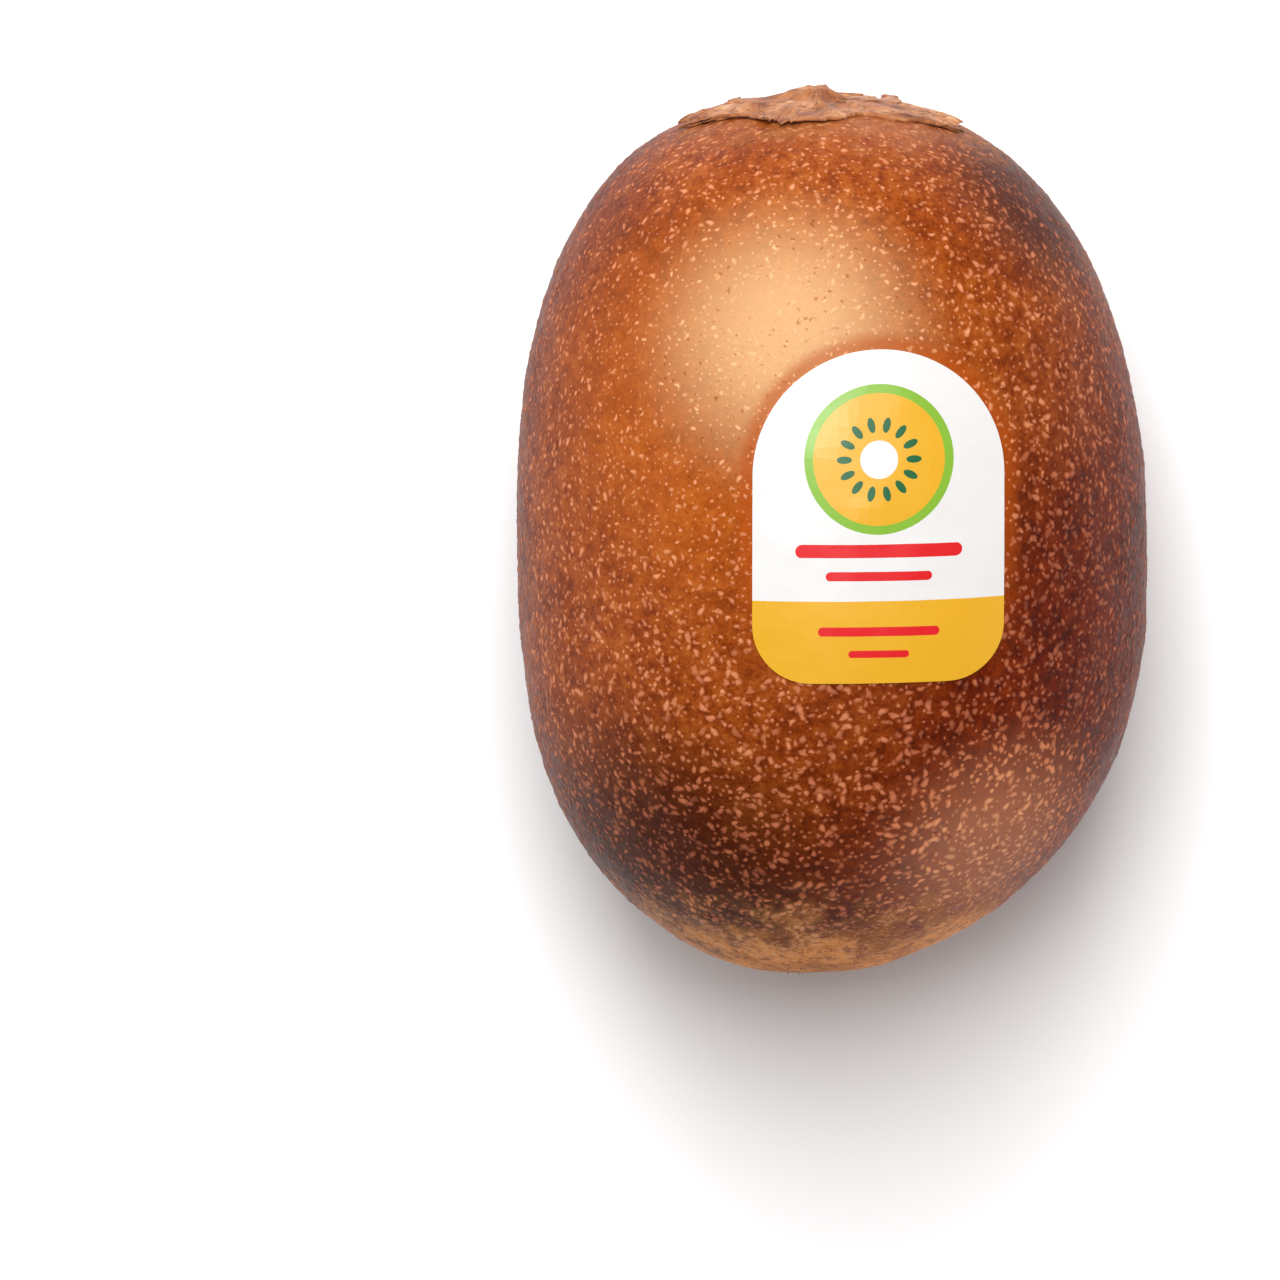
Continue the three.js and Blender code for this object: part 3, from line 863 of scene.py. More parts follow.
def bare_places(tree, place, centred, mask):
    """The mask with nothing left where no lenticel may be."""
    parts = add(tree, "ShaderNodeSeparateXYZ", {"Vector": place}).outputs
    radius = off_axis(tree, centred)
    from_stem = add(tree, "ShaderNodeMath", {0: radius, 1: parts["Y"]}, operation="SUBTRACT")
    from_blossom = add(tree, "ShaderNodeMath", {0: radius, 1: parts["Y"]}, operation="ADD")
    checks = [
        (past_label_edge(tree, place), -LABEL_OVERLAP),
        (parts["Z"], REST_HEIGHT),
        (from_stem, CALYX_REACH - STEM_POLE),
        (from_blossom, CAP_REACH + BLOSSOM_POLE),
    ]
    for value, least in checks:
        clear = add(tree, "ShaderNodeMath", {0: value, 1: least}, operation="GREATER_THAN")
        mask = add(tree, "ShaderNodeMath", {0: clear, 1: mask}, operation="MULTIPLY")
    return mask


print("smooth spot at", [round(c / MM) for c in SMOOTH_SPOT], "mm")

# %% [markdown]
# No two lenticels are alike. Chance raised to a power gives many small and few large ones, and growth
# makes them larger. Each copy also picks its outline, its height and its turn by chance, and carries its
# own tint value for the finish.

# %% Size and turn of each lenticel
SKEW = 1.5
GROWTH = (0.8, 1.2)
HEIGHT_SPREAD = (0.6, 1.3)
ANY_KIND = 99  # larger than the number of kinds: the pick wraps round


def lenticel_scale(tree, size, grown):
    """The radius and height of each lenticel."""
    chance = add(tree, "FunctionNodeRandomValue", {"Seed": 1}, data_type="FLOAT")
    skewed = add(tree, "ShaderNodeMath", {0: chance, 1: SKEW}, operation="POWER")
    spread = {"Value": skewed, "To Min": size["Smallest"], "To Max": size["Largest"]}
    radius = add(tree, "ShaderNodeMapRange", spread)
    growth = {"Value": grown, "To Min": GROWTH[0], "To Max": GROWTH[1]}
    growth = add(tree, "ShaderNodeMapRange", growth)
    radius = add(tree, "ShaderNodeMath", {0: radius, 1: growth}, operation="MULTIPLY")
    bulk = {"Min": HEIGHT_SPREAD[0], "Max": HEIGHT_SPREAD[1], "Seed": 4}
    bulk = add(tree, "FunctionNodeRandomValue", bulk, data_type="FLOAT")
    height = add(tree, "ShaderNodeMath", {0: size["Height"], 1: bulk}, operation="MULTIPLY")
    return add(tree, "ShaderNodeCombineXYZ", {"X": radius, "Y": radius, "Z": height})


def turned_at_random(tree, points, least, most, seed):
    """Each point's own rotation, turned further by chance."""
    spin = {"Min": least, "Max": most, "Seed": seed}
    spin = add(tree, "FunctionNodeRandomValue", spin, data_type="FLOAT_VECTOR")
    turn = {"Rotation": points.outputs["Rotation"], "Rotate By": spin}
    return add(tree, "FunctionNodeRotateRotation", turn, rotation_space="LOCAL")


print("lenticel heights vary", HEIGHT_SPREAD)

# %% [markdown]
# The tree joins these rules. It measures where each place is, thins the points out, copies a shape to
# each and makes the copies real. The sizes come in by name, because the tree runs twice.

# %% The scatter tree
LENTICEL_INPUTS = {
    "Skin": "Geometry",
    "Shapes": "Collection",
    "Spacing": "Float",
    "Density": "Float",
    "Smallest": "Float",
    "Largest": "Float",
    "Height": "Float",
    "Least share": "Float",
    "Seed": "Int",
    "Material": "Material",
}


def points_apart(tree, mesh, size, mask):
    """Points on a mesh that keep their distance, fewer where the mask is low."""
    spread = {
        "Mesh": mesh,
        "Distance Min": size["Spacing"],
        "Density Max": size["Density"],
        "Density Factor": mask,
        "Seed": size["Seed"],
    }
    return add(tree, "GeometryNodeDistributePointsOnFaces", spread, distribute_method="POISSON")


def lenticel_tree():
    """Scatters the shapes of a collection over the skin."""
    tree, size = start_tree("scattered lenticels", LENTICEL_INPUTS)
    place = add(tree, "GeometryNodeInputPosition").outputs[0]
    centred = add(tree, "ShaderNodeVectorMath", {0: place, 1: body_place}, operation="SUBTRACT")
    grown = how_grown(tree, place, centred)
    share = add(tree, "ShaderNodeMapRange", {"Value": grown, "To Min": size["Least share"]})
    mask = bare_places(tree, place, centred, share)
    points = points_apart(tree, size["Skin"], size, mask)
    kind = {"Min": 0, "Max": ANY_KIND, "Seed": 2}
    shapes = {"Collection": size["Shapes"], "Separate Children": True, "Reset Children": True}
    copied = {
        "Points": points.outputs["Points"],
        "Instance": add(tree, "GeometryNodeCollectionInfo", shapes),
        "Pick Instance": True,
        "Instance Index": add(tree, "FunctionNodeRandomValue", kind, data_type="INT"),
        "Rotation": turned_at_random(tree, points, (0, 0, 0), (0, 0, 2 * math.pi), 5),
        "Scale": lenticel_scale(tree, size, grown),
    }
    copies = add(tree, "GeometryNodeInstanceOnPoints", copied)
    tint = add(tree, "FunctionNodeRandomValue", {"Seed": 6}, data_type="FLOAT")
    tinted = add(
        tree,
        "GeometryNodeStoreNamedAttribute",
        {"Geometry": copies, "Name": "tint", "Value": tint},
        data_type="FLOAT",
        domain="INSTANCE",
    )
    end_tree(tree, tinted, size["Material"])
    return tree


scatter_rule = lenticel_tree()
print("scatter rule:", len(scatter_rule.nodes), "nodes")

# %% [markdown]
# It runs once for a dense field of tiny flat ones and once for the larger ones that show from afar. The
# collections of shapes are deleted afterwards, since only the copies on the skin are part of the fruit.

# %% Scatter the lenticels
SMALL_FIELD = {
    "Spacing": 0.44 * MM,
    "Density": 2.4 / MM**2,
    "Smallest": 0.15 * MM,
    "Largest": 0.24 * MM,
    "Height": 0.03 * MM,
    "Least share": 0.9,
    "Seed": 11,
}
LARGE_FIELD = {
    "Spacing": 0.57 * MM,
    "Density": 1.15 / MM**2,
    "Smallest": 0.22 * MM,
    "Largest": 0.36 * MM,
    "Height": 0.05 * MM,
    "Least share": 0.50,
    "Seed": 12,
}


def scatter(name, kinds, field):
    """Runs the tree, and drops the shapes that it copied."""
    given = {"Shapes": kinds, "Material": lenticel_finish}
    made = run_tree(name, scatter_rule, field | given, source=skin)
    for kind in list(kinds.objects):
        bpy.data.objects.remove(kind)
    bpy.data.collections.remove(kinds)
    print(name, triangles(made), "triangles")
    return made


small_lenticels = scatter("small_lenticels", small_kinds, SMALL_FIELD)
large_lenticels = scatter("large_lenticels", large_kinds, LARGE_FIELD)

# %% [markdown]
# The calyx is what is left of the flower's five sepals: dry, curled and cracked like old paper, round
# the rough stump where the stalk broke off. The solid model has plain ones. Here each sepal is a thin
# closed sheet laid on the skin by casting rays at it from the stem end. Its edge is torn by noise, it is
# creased along its length, and its tip lifts. First come its sizes, all in millimetres.

# %% Calyx sizes
SEPALS = [
    # turn in degrees, the rest in millimetres: under is how far it lies over the ones beside it
    {"turn": 12, "length": 10.6, "width": 9.4, "tip": 0.10, "cup": 0.12, "under": 0.00},
    {"turn": 112, "length": 8.4, "width": 10.4, "tip": 0.10, "cup": 0.10, "under": 0.10},
    {"turn": 170, "length": 9.9, "width": 9.2, "tip": 0.10, "cup": 0.15, "under": 0.05},
    {"turn": 234, "length": 8.6, "width": 9.8, "tip": 0.35, "cup": 0.20, "under": 0.12},
    {"turn": 301, "length": 8.2, "width": 9.8, "tip": 0.45, "cup": 0.20, "under": 0.05},
]
LUMPS = [
    # place across and up from the stump, radius and height, all in millimetres
    (-5.3, 3.4, 1.2, 0.50),
    (-2.2, 2.4, 2.0, 0.30),
    (0.1, 4.6, 0.9, 0.45),
    (1.9, 4.4, 0.9, -0.40),
    (4.6, 1.4, 2.6, 0.20),
]
SEPAL_ROOT = 0.7 * MM
SEPAL_ROWS, SEPAL_COLUMNS = 40, 34
STUMP = [
    # radius and height in millimetres, and how ragged it is there
    (3.2, 0.10, 0.30),
    (2.4, 0.42, 0.25),
    (1.8, 0.72, 0.20),
    (1.35, 1.02, 0.16),
    (1.0, 1.26, 0.14),
    (0.7, 1.34, 0.12),
    (0.5, 1.16, 0.12),
    (0.25, 1.00, 0.10),
]
FLAKES = 18
SIDE_TORN, TIP_TORN = 0.16, 0.14  # share of a sepal's half width and length
FOLDS, LUMPINESS, ROLL = 0.16, 0.24, 0.30  # heights of its folds, its lumps and its rolled tip
LEAST_LIFT, SHEET_LIFT = 0.04, 0.12  # least height over the skin, and what is added to every height
ROOT_THICK, TIP_THICK = 0.45, 0.14
SUNK = 0.05  # how far its under side may be under the skin
SEPAL_STRIP = 0.9  # width of a sepal's own strip on the map, so that no two share their fibres
STUMP_STRIP, FLAKE_STRIP = 8, 12  # where the strips of the stump and of the flakes begin
stem_x = body_place.x + BODY["Lean"]
stem_z = body_place.z
print("stalk at", round(stem_x / MM, 1), round(stem_z / MM, 1), "mm")

# %% [markdown]
# A sheet of paper is two grids of points, one over the other, joined at their edges. It is closed, so it
# has a thickness from every side, and its own map runs along it from root to tip for the fibres.

# %% A closed sheet and its noise
def between(first, last, share):
    """The value that is a share of the way from the first to the last."""
    return first + (last - first) * share


def rough(*spot, fine=0.5):
    """Noise at a spot, with some more of it at a third of the size."""
    spot = Vector(spot)
    return noise.noise(spot) + fine * noise.noise(spot * 3.1)


def closed_sheet(mesh, uv_layer, rows, columns, lower, upper, uv):
    """Adds a closed sheet between two grids of points."""
    under, over = [
        [[mesh.verts.new(side(i, j)) for j in range(columns + 1)] for i in range(rows + 1)]
        for side in (lower, upper)
    ]

    def face(*corners):
        made = mesh.faces.new([layer[i][j] for layer, i, j in corners])
        for loop, (_, i, j) in zip(made.loops, corners):
            loop[uv_layer].uv = uv(i, j)

    for i in range(rows):
        for j in range(columns):
            face((over, i, j), (over, i + 1, j), (over, i + 1, j + 1), (over, i, j + 1))
            face((under, i, j), (under, i, j + 1), (under, i + 1, j + 1), (under, i + 1, j))
    for i in range(rows):
        face((under, i, 0), (under, i + 1, 0), (over, i + 1, 0), (over, i, 0))
        face((under, i + 1, columns), (under, i, columns), (over, i, columns), (over, i + 1, columns))
    for j in range(columns):
        face((under, 0, j + 1), (under, 0, j), (over, 0, j), (over, 0, j + 1))
        face((under, rows, j), (under, rows, j + 1), (over, rows, j + 1), (over, rows, j))


print("noise at the stalk", round(rough(stem_x, 0, stem_z), 3))

# %% [markdown]
# A sepal's place is worked out point by point: how far out, how far sideways, and then how far above the
# skin that lies there. Folds and lumps may lower it, but never below the skin, and its thick root and
# sunk under side leave no gap at the stump.

# %% Sepals
def add_sepal(mesh, uv_layer, index, sepal):
    """One torn and creased sheet from the stump outwards."""
    heading = math.radians(sepal["turn"])
    seed = index * 7.3

    def half_width(along, side):
        outline = math.sqrt(math.sin(math.pi * between(0.22, 0.92, along)))
        tip = 1 - 0.55 * along**6
        torn = SIDE_TORN * rough(seed + along * 6, 4 * side, 0, fine=0.7)
        return sepal["width"] / 2 * MM * (outline * tip + torn * along)

    def place(i, j, upper):
        along = i / SEPAL_ROWS
        side = 1 - 2 * j / SEPAL_COLUMNS
        torn_tip = 1 + TIP_TORN * rough(seed + side * 2.2, 20, 0)
        forward = SEPAL_ROOT + along * sepal["length"] * MM * between(1, torn_tip, along)
        sideways = side * half_width(along, math.copysign(1, side))
        radius = math.hypot(forward, sideways)
        turn = heading + math.atan2(sideways, forward)
        x = stem_x + radius * math.cos(turn)
        z = stem_z + radius * math.sin(turn)
        point, normal = skin_from_end(x, z, 1)
        folds = FOLDS * rough(seed + side * 2.8, along * 1.3, 9, fine=0.3)
        lumps = LUMPINESS * rough(seed + along * 3.8, side * 3.2, 12, fine=0.6)
        curl = sepal["tip"] * along**3 + sepal["cup"] * side * side * between(0.3, 1, along)
        rolled = ROLL * max(0.0, rough(seed + side * 1.7, 31, 0)) * along**6
        lift = 0.10 + sepal["under"] + curl + rolled + (folds + lumps) * between(0.5, 1, along)
        for across, up, wide, high in LUMPS:
            off = math.dist((x, z), (stem_x + across * MM, stem_z + up * MM)) / (wide * MM)
            lift += high * math.exp(-off * off)
        top = max(lift, LEAST_LIFT) + SHEET_LIFT
        bottom = max(top - between(ROOT_THICK, TIP_THICK, along**2), -SUNK)
        return point + normal * (top if upper else bottom) * MM

    closed_sheet(
        mesh,
        uv_layer,
        SEPAL_ROWS,
        SEPAL_COLUMNS,
        lambda i, j: place(i, j, False),
        lambda i, j: place(i, j, True),
        lambda i, j: (index + j / SEPAL_COLUMNS * SEPAL_STRIP, i / SEPAL_ROWS),
    )


print("sepals:", len(SEPALS))

# %% [markdown]
# The stalk broke off in the middle and left a low ragged cone with a sunk top. It is a stack of uneven
# rings, because a turned shape would look made.

# %% Stump
STUMP_SIDES = 54
STUMP_SINK = 0.95 * MM  # height of the middle of its sunk top


def add_stump(mesh, uv_layer):
    """The stalk's broken end: a low cone, drawn out to one side, with a ragged rim."""
    sides = STUMP_SIDES
    foot, _ = skin_from_end(stem_x, stem_z, 1)
    rings = []
    for level, (radius, height, ragged) in enumerate(STUMP):
        ring = []
        for k in range(sides):
            turn = 2 * math.pi * k / sides
            torn = ragged * 1.5 * rough(2.0 * math.cos(turn), 2.0 * math.sin(turn), level * 0.4)
            drawn = 1.30 - 0.55 * math.cos(turn)
            out = radius * drawn * (1 + torn) * MM
            lean = 0.16 * math.cos(turn) * radius * height / 1.3
            up = (height * (1 + 0.5 * torn) + lean) * MM
            spot = (foot.x + out * math.cos(turn), foot.y + up, foot.z + out * math.sin(turn))
            ring.append(mesh.verts.new(spot))
        rings.append(ring)
    top = mesh.verts.new(foot + Vector((0, STUMP_SINK, 0)))
    under = mesh.verts.new(foot)
    for k in range(sides):
        after = (k + 1) % sides
        for level in range(len(rings) - 1):
            low, high = rings[level], rings[level + 1]
            made = mesh.faces.new([low[k], high[k], high[after], low[after]])
            for loop, (a, b) in zip(made.loops, ((0, 0), (0, 1), (1, 1), (1, 0))):
                loop[uv_layer].uv = (STUMP_STRIP + (k + a) / sides * 3, (level + b) / len(rings))
        mesh.faces.new([rings[-1][k], top, rings[-1][after]])
        mesh.faces.new([rings[0][after], under, rings[0][k]])


print("stump", max(height for _, height, _ in STUMP), "mm high at its rim")

# %% [markdown]
# Dry sepals shed crumbs, which lie about between them. Each is a little bent sheet of nine squares, put
# down by seeded chance. Then all of the calyx is joined into one mesh, with its faces turned outwards.

# %% Flakes, and the calyx as one mesh
FLAKE_GRID = 3
FLAKE_THICKNESS = 0.12 * MM


def add_flake(mesh, uv_layer, index, chance):
    """A crumb of broken sepal: a small bent sheet that lies on the others."""
    turn = chance.uniform(0, 2 * math.pi)
    radius = chance.uniform(1.8, 4.5) * MM
    spin = chance.uniform(0, 2 * math.pi)
    size = chance.uniform(0.3, 0.7) * MM
    tilt = chance.uniform(0.0, 0.12)
    base = chance.uniform(0.15, 0.30)

    def place(i, j, thick):
        u, v = i / FLAKE_GRID - 0.5, j / FLAKE_GRID - 0.5
        u += 0.18 * noise.noise(Vector((index * 3.7 + i, j, 0)))
        v += 0.18 * noise.noise(Vector((index * 3.7 + i, j, 7)))
        a = size * 1.6 * u
        b = size * v
        x = stem_x + radius * math.cos(turn) + a * math.cos(spin) - b * math.sin(spin)
        z = stem_z + radius * math.sin(turn) + a * math.sin(spin) + b * math.cos(spin)
        point, normal = skin_from_end(x, z, 1)
        return point + normal * ((base + tilt * u + 0.5 * v * v) * MM + thick)

    closed_sheet(
        mesh,
        uv_layer,
        FLAKE_GRID,
        FLAKE_GRID,
        lambda i, j: place(i, j, 0),
        lambda i, j: place(i, j, FLAKE_THICKNESS),
        lambda i, j: (FLAKE_STRIP + index + j / 9, i / 9),
    )


def calyx_mesh():
    """Sepals, stump and flakes in one mesh."""
    made = bmesh.new()
    uv_layer = made.loops.layers.uv.new("along_fibres")
    for index, sepal in enumerate(SEPALS):
        add_sepal(made, uv_layer, index, sepal)
    add_stump(made, uv_layer)
    chance = random.Random(7)
    for index in range(FLAKES):
        add_flake(made, uv_layer, index, chance)
    bmesh.ops.recalc_face_normals(made, faces=made.faces)
    mesh = bpy.data.meshes.new("dried_calyx_sepals")
    made.to_mesh(mesh)
    made.free()
    mesh.shade_smooth()
    return mesh


calyx = add_piece("calyx", calyx_mesh())
print("calyx:", triangles(calyx), "triangles")

# %% [markdown]
# Dead sepals are between paper and bark: quite matt, tan where they are thin, with fibres that run from
# root to tip. The fibres are noise on the sheet's own map, pulled long in one direction. Patches and thin
# dark brown cracks lie over them in the object's own coordinates, so that they run on from one sepal to
# the next. The dark cracks are partly the sepals' own splits and partly painted shade that stands for the
# dark hollows under their flaps.

# %% Calyx finish
DEAD_BROWNS = [(0.36, "#5c2c12"), (0.44, "#90522c"), (0.54, "#b47446"), (0.66, "#daa678")]
# dark brown of the cracks: partly real splits, partly painted shade for the hollows under the flaps
CRACK_AND_SHADE_BROWN = "#7a4422"
FIBRE_SHARE, PATCH_SHARE = 0.35, 0.65
FIBRE_PULL = (13, 2.2, 1)  # fibres to a sepal's width, and how often they change along it


def calyx_material():
    """Dry papery sepal: it gives the eye a matt tan with dark cracks, partly painted shade, and fine
    fibres.
    """
    material, tree, shader, place = new_material(
        "dry papery sepal", IOR=1.4, Roughness=0.8, Sheen_Weight=0.1
    )
    sheet = add(tree, "ShaderNodeUVMap", uv_map="along_fibres")
    pulled = add(tree, "ShaderNodeMapping", {"Vector": sheet, "Scale": FIBRE_PULL})
    fibres = add(tree, "ShaderNodeTexNoise", grain(pulled, 1.0, detail=4.0, roughness=0.6))
    patches = add(tree, "ShaderNodeTexNoise", grain(place, 3.4 * MM, detail=5.0, roughness=0.6))
    tone = 0.0
    for layer, share in ((fibres, FIBRE_SHARE), (patches, PATCH_SHARE)):
        tone = add(tree, "ShaderNodeMath", {0: layer, 1: share, 2: tone}, operation="MULTIPLY_ADD")
    dead = add(tree, "ShaderNodeValToRGB", {"Fac": tone}, ramp=DEAD_BROWNS).outputs[0]
    # dark lines: partly the sepals' splits, partly painted shade
    whole = cracks(tree, place, 3.0 * MM, 0.02)
    tree.links.new(washes(tree, CRACK_AND_SHADE_BROWN, [(whole, dead)]), shader.inputs["Base Color"])
    height = add(tree, "ShaderNodeMath", {0: fibres, 1: patches}, operation="ADD")
    bump = add(tree, "ShaderNodeBump", {"Height": height, "Distance": 0.06 * MM, "Strength": 1.0})
    tree.links.new(bump.outputs[0], shader.inputs["Normal"])
    return material


calyx_finish = calyx_material()
calyx.data.materials.append(calyx_finish)
print("calyx finish:", len(calyx_finish.node_tree.nodes), "nodes")

# %% [markdown]
# At the other end the flower's styles have dried to a small tuft of stiff dark threads in a shallow
# hollow. They stand on a low rough button, which follows the hollow ring by ring.

# %% Button of the styles
BUTTON_RADIUS = 2.5 * MM
BUTTON_RINGS, BUTTON_SIDES = 9, 30
BUTTON_TOP = Vector((0, 0.4 * MM, 0))  # how far its middle is proud of the skin, and sunk under it
blossom_x = body_place.x - BODY["Lean"]


def style_button():
    """A low rough disc that follows the hollow."""
    rings, sides = BUTTON_RINGS, BUTTON_SIDES
    made = bmesh.new()
    levels = []
    for i in range(1, rings + 1):
        share = i / rings
        ring = []
        for k in range(sides):
            turn = 2 * math.pi * k / sides
            uneven = noise.noise(Vector((math.cos(turn) * 2, math.sin(turn) * 2, share * 6)))
            radius = BUTTON_RADIUS * share * (1 + 0.08 * uneven * share)
            x = blossom_x + radius * math.cos(turn)
            z = body_place.z + radius * math.sin(turn)
            point, _ = skin_from_end(x, z, -1)
            lift = 0.45 * (1 - share**3) + 0.16 * uneven * (1 - share) - 0.05 * share**6
            ring.append(made.verts.new((x, point.y - lift * MM, z)))
        levels.append(ring)
    point, _ = skin_from_end(blossom_x, body_place.z, -1)
    top = made.verts.new(point - BUTTON_TOP)
    under = made.verts.new(point + BUTTON_TOP)
    for k in range(sides):
        after = (k + 1) % sides
        made.faces.new([top, levels[0][k], levels[0][after]])
        made.faces.new([under, levels[-1][after], levels[-1][k]])
        for inner, outer in zip(levels, levels[1:]):
            made.faces.new([inner[k], outer[k], outer[after], inner[after]])
    bmesh.ops.recalc_face_normals(made, faces=made.faces)
    mesh = bpy.data.meshes.new("style_button")
    made.to_mesh(mesh)
    made.free()
    return mesh


button = add_piece("style_button", style_button())
print("button:", triangles(button), "triangles")

# %% [markdown]
# The threads repeat, so a tree scatters them. One bent thread is drawn as a curve that tapers to its
# tip and is given a six-sided section. It is copied to points on the front of the button, and each copy
# leans and stretches its own way.

# %% Threads of the styles
THREAD = {  # a curve one long, which the tree scales to its length
    "Resolution": 5,
    "Start": (0, 0, 0),
    "Start Handle": (0, 0, 0.5),
    "End Handle": (0.1, 0, 0.8),
    "End": (0.45, 0.1, 1.0),
}
TIP_SHARE = 0.45  # of the radius at its foot
LEAN = 0.5  # radians, how far a thread may lean from its point's own direction
STRETCH = (0.6, 1.2)
TUFT_SHARE = 0.82  # of the button's radius, where threads stand


def thread_shape(tree, size):
    """One tapered, bent thread."""
    length = size["Thread length"]
    long = add(tree, "ShaderNodeCombineXYZ", {"X": length, "Y": length, "Z": length})
    curve = add(tree, "GeometryNodeCurvePrimitiveBezierSegment", THREAD)
    curve = add(tree, "GeometryNodeTransform", {"Geometry": curve, "Scale": long})
    along = add(tree, "GeometryNodeSplineParameter").outputs["Factor"]
    taper = add(tree, "ShaderNodeMapRange", {"Value": along, "To Min": 1.0, "To Max": TIP_SHARE})
    curve = add(tree, "GeometryNodeSetCurveRadius", {"Curve": curve, "Radius": taper})
    round_bar = {"Resolution": 6, "Radius": size["Thread radius"]}
    section = add(tree, "GeometryNodeCurvePrimitiveCircle", round_bar).outputs["Curve"]
    solid = {"Curve": curve, "Profile Curve": section, "Scale": taper, "Fill Caps": True}
    return add(tree, "GeometryNodeCurveToMesh", solid)


def front_of_button(tree):
    """Is 1 on the front of the button, away from its rim."""
    place = add(tree, "GeometryNodeInputPosition")
    own_middle = {0: place, 1: (blossom_x, 0, body_place.z)}
    outer = add(tree, "ShaderNodeVectorMath", own_middle, operation="SUBTRACT")
    within = {0: off_axis(tree, outer), 1: TUFT_SHARE * BUTTON_RADIUS}
    within = add(tree, "ShaderNodeMath", within, operation="LESS_THAN")
    facing = {0: add(tree, "GeometryNodeInputNormal"), 1: (0, -1, 0)}
    facing = add(tree, "ShaderNodeVectorMath", facing, operation="DOT_PRODUCT").outputs["Value"]
    front = add(tree, "ShaderNodeMath", {0: facing, 1: 0.2}, operation="GREATER_THAN")
    return add(tree, "ShaderNodeMath", {0: within, 1: front}, operation="MULTIPLY")


def styles_tree():
    """The button with its threads."""
    inputs = {
        "Button": "Geometry",
        "Spacing": "Float",
        "Density": "Float",
        "Thread length": "Float",
        "Thread radius": "Float",
        "Seed": "Int",
        "Material": "Material",
    }
    tree, size = start_tree("dried styles", inputs)
    points = points_apart(tree, size["Button"], size, front_of_button(tree))
    longer = {"Min": STRETCH[0], "Max": STRETCH[1], "Seed": 4}
    longer = add(tree, "FunctionNodeRandomValue", longer, data_type="FLOAT")
    copied = {
        "Points": points.outputs["Points"],
        "Instance": thread_shape(tree, size),
        "Rotation": turned_at_random(tree, points, (-LEAN, -LEAN, 0), (LEAN, LEAN, 2 * math.pi), 3),
        "Scale": add(tree, "ShaderNodeCombineXYZ", {"X": 1.0, "Y": 1.0, "Z": longer}),
    }
    copies = add(tree, "GeometryNodeInstanceOnPoints", copied)
    both = add(tree, "GeometryNodeJoinGeometry")
    tree.links.new(size["Button"], both.inputs[0])
    tree.links.new(copies.outputs[0], both.inputs[0])
    end_tree(tree, both, size["Material"])
    return tree


styles_rule = styles_tree()
print("styles rule:", len(styles_rule.nodes), "nodes")

# %% [markdown]
# Their finish is dead fibre, dark brown with paler worn tips and quite matt. The threads are too thin
# for fibres of their own to show, so patches of half a millimetre change from one thread to the next.

# %% Styles and their finish
STYLE_BROWNS = [(0.35, "#44281a"), (0.55, "#74492c"), (0.7, "#a87c54")]


def style_material():
    """Dry dark fibre: it gives the eye a dull dark tuft with a few paler threads."""
    material, tree, shader, place = new_material("dry dark style fibre", Roughness=0.75, IOR=1.45)
    patches = add(tree, "ShaderNodeTexNoise", grain(place, 0.5 * MM, detail=3.0))
    browns = add(tree, "ShaderNodeValToRGB", {"Fac": patches}, ramp=STYLE_BROWNS)
    tree.links.new(browns.outputs[0], shader.inputs["Base Color"])
    bump = add(tree, "ShaderNodeBump", {"Height": patches, "Distance": 0.08 * MM, "Strength": 1.0})
    tree.links.new(bump.outputs[0], shader.inputs["Normal"])
    return material


TUFT = {
    "Spacing": 0.30 * MM,
    "Density": 9 / MM**2,
    "Thread length": 0.75 * MM,
    "Thread radius": 0.09 * MM,
    "Seed": 5,
}
styles = run_tree("styles", styles_rule, TUFT | {"Material": style_material()}, source=button)
bpy.data.objects.remove(button)
print("styles:", triangles(styles), "triangles")

# %% [markdown]
# The label is thin coated paper, printed flat and stuck down on a curved fruit. Its print is cut into
# its mesh rather than painted on: the outlines of the label and of each printed field are drawn flat, in
# millimetres from the label's middle, and one triangulation respects all of them, so that every field
# has faces of its own with a crisp edge. The sheet is then laid on the skin from above and given its
# thickness. The design is a plain one: a golden foot, a fruit slice and a few bars.

# %% Sizes of the label and its print
HALF_WIDTH = LABEL_SIZE.x / 2 / MM  # in millimetres, as all of the print is
HALF_LENGTH = LABEL_SIZE.y / 2 / MM
LABEL_CORNER = 4.5
BAND_TOP = -HALF_LENGTH * 0.5
SLICE = {"x": 0.0, "y": 4.6, "rind": 5.9, "flesh": 5.2, "core": 1.5}
SEEDS = {"count": 14, "ring": 2.75, "long": 0.62, "wide": 0.30}
BARS = [
    # middle x, middle y, half length, half height and ink
    (0.0, -2.6, 6.6, 0.55, "red"),
    (0.0, -4.6, 4.2, 0.38, "red"),
    (0.0, -9.0, 4.8, 0.38, "red"),
    (0.0, -10.8, 2.4, 0.30, "red"),
]
GRID_STEP = 0.8  # mm, between the points inside a field
OUTLINE_STEP = 0.5  # mm, between the points along an outline
PAPER_THICKNESS = 0.08 * MM
PAPER_LIFT = 0.05 * MM  # clear of the skin, so that none of its bumps poke through
print("printed shapes:", 1 + 3 + SEEDS["count"] + len(BARS))

# %% [markdown]
# Every outline is made of arcs and straight lines. Long lines are cut into short ones, because a line
# with no points in it would cut through the curved skin instead of following it.

# %% Outlines
def arc(x, y, radius, start, end, steps, squash=1.0, tilt=0.0):
    """Points along an arc, in millimetres and degrees."""
    made = []
    for k in range(steps):
        turn = math.radians(start + (end - start) * k / steps)
        a, b = radius * math.cos(turn), radius * squash * math.sin(turn)
        across = a * math.cos(tilt) - b * math.sin(tilt)
        up = a * math.sin(tilt) + b * math.cos(tilt)
        made.append((x + across, y + up))
    return made


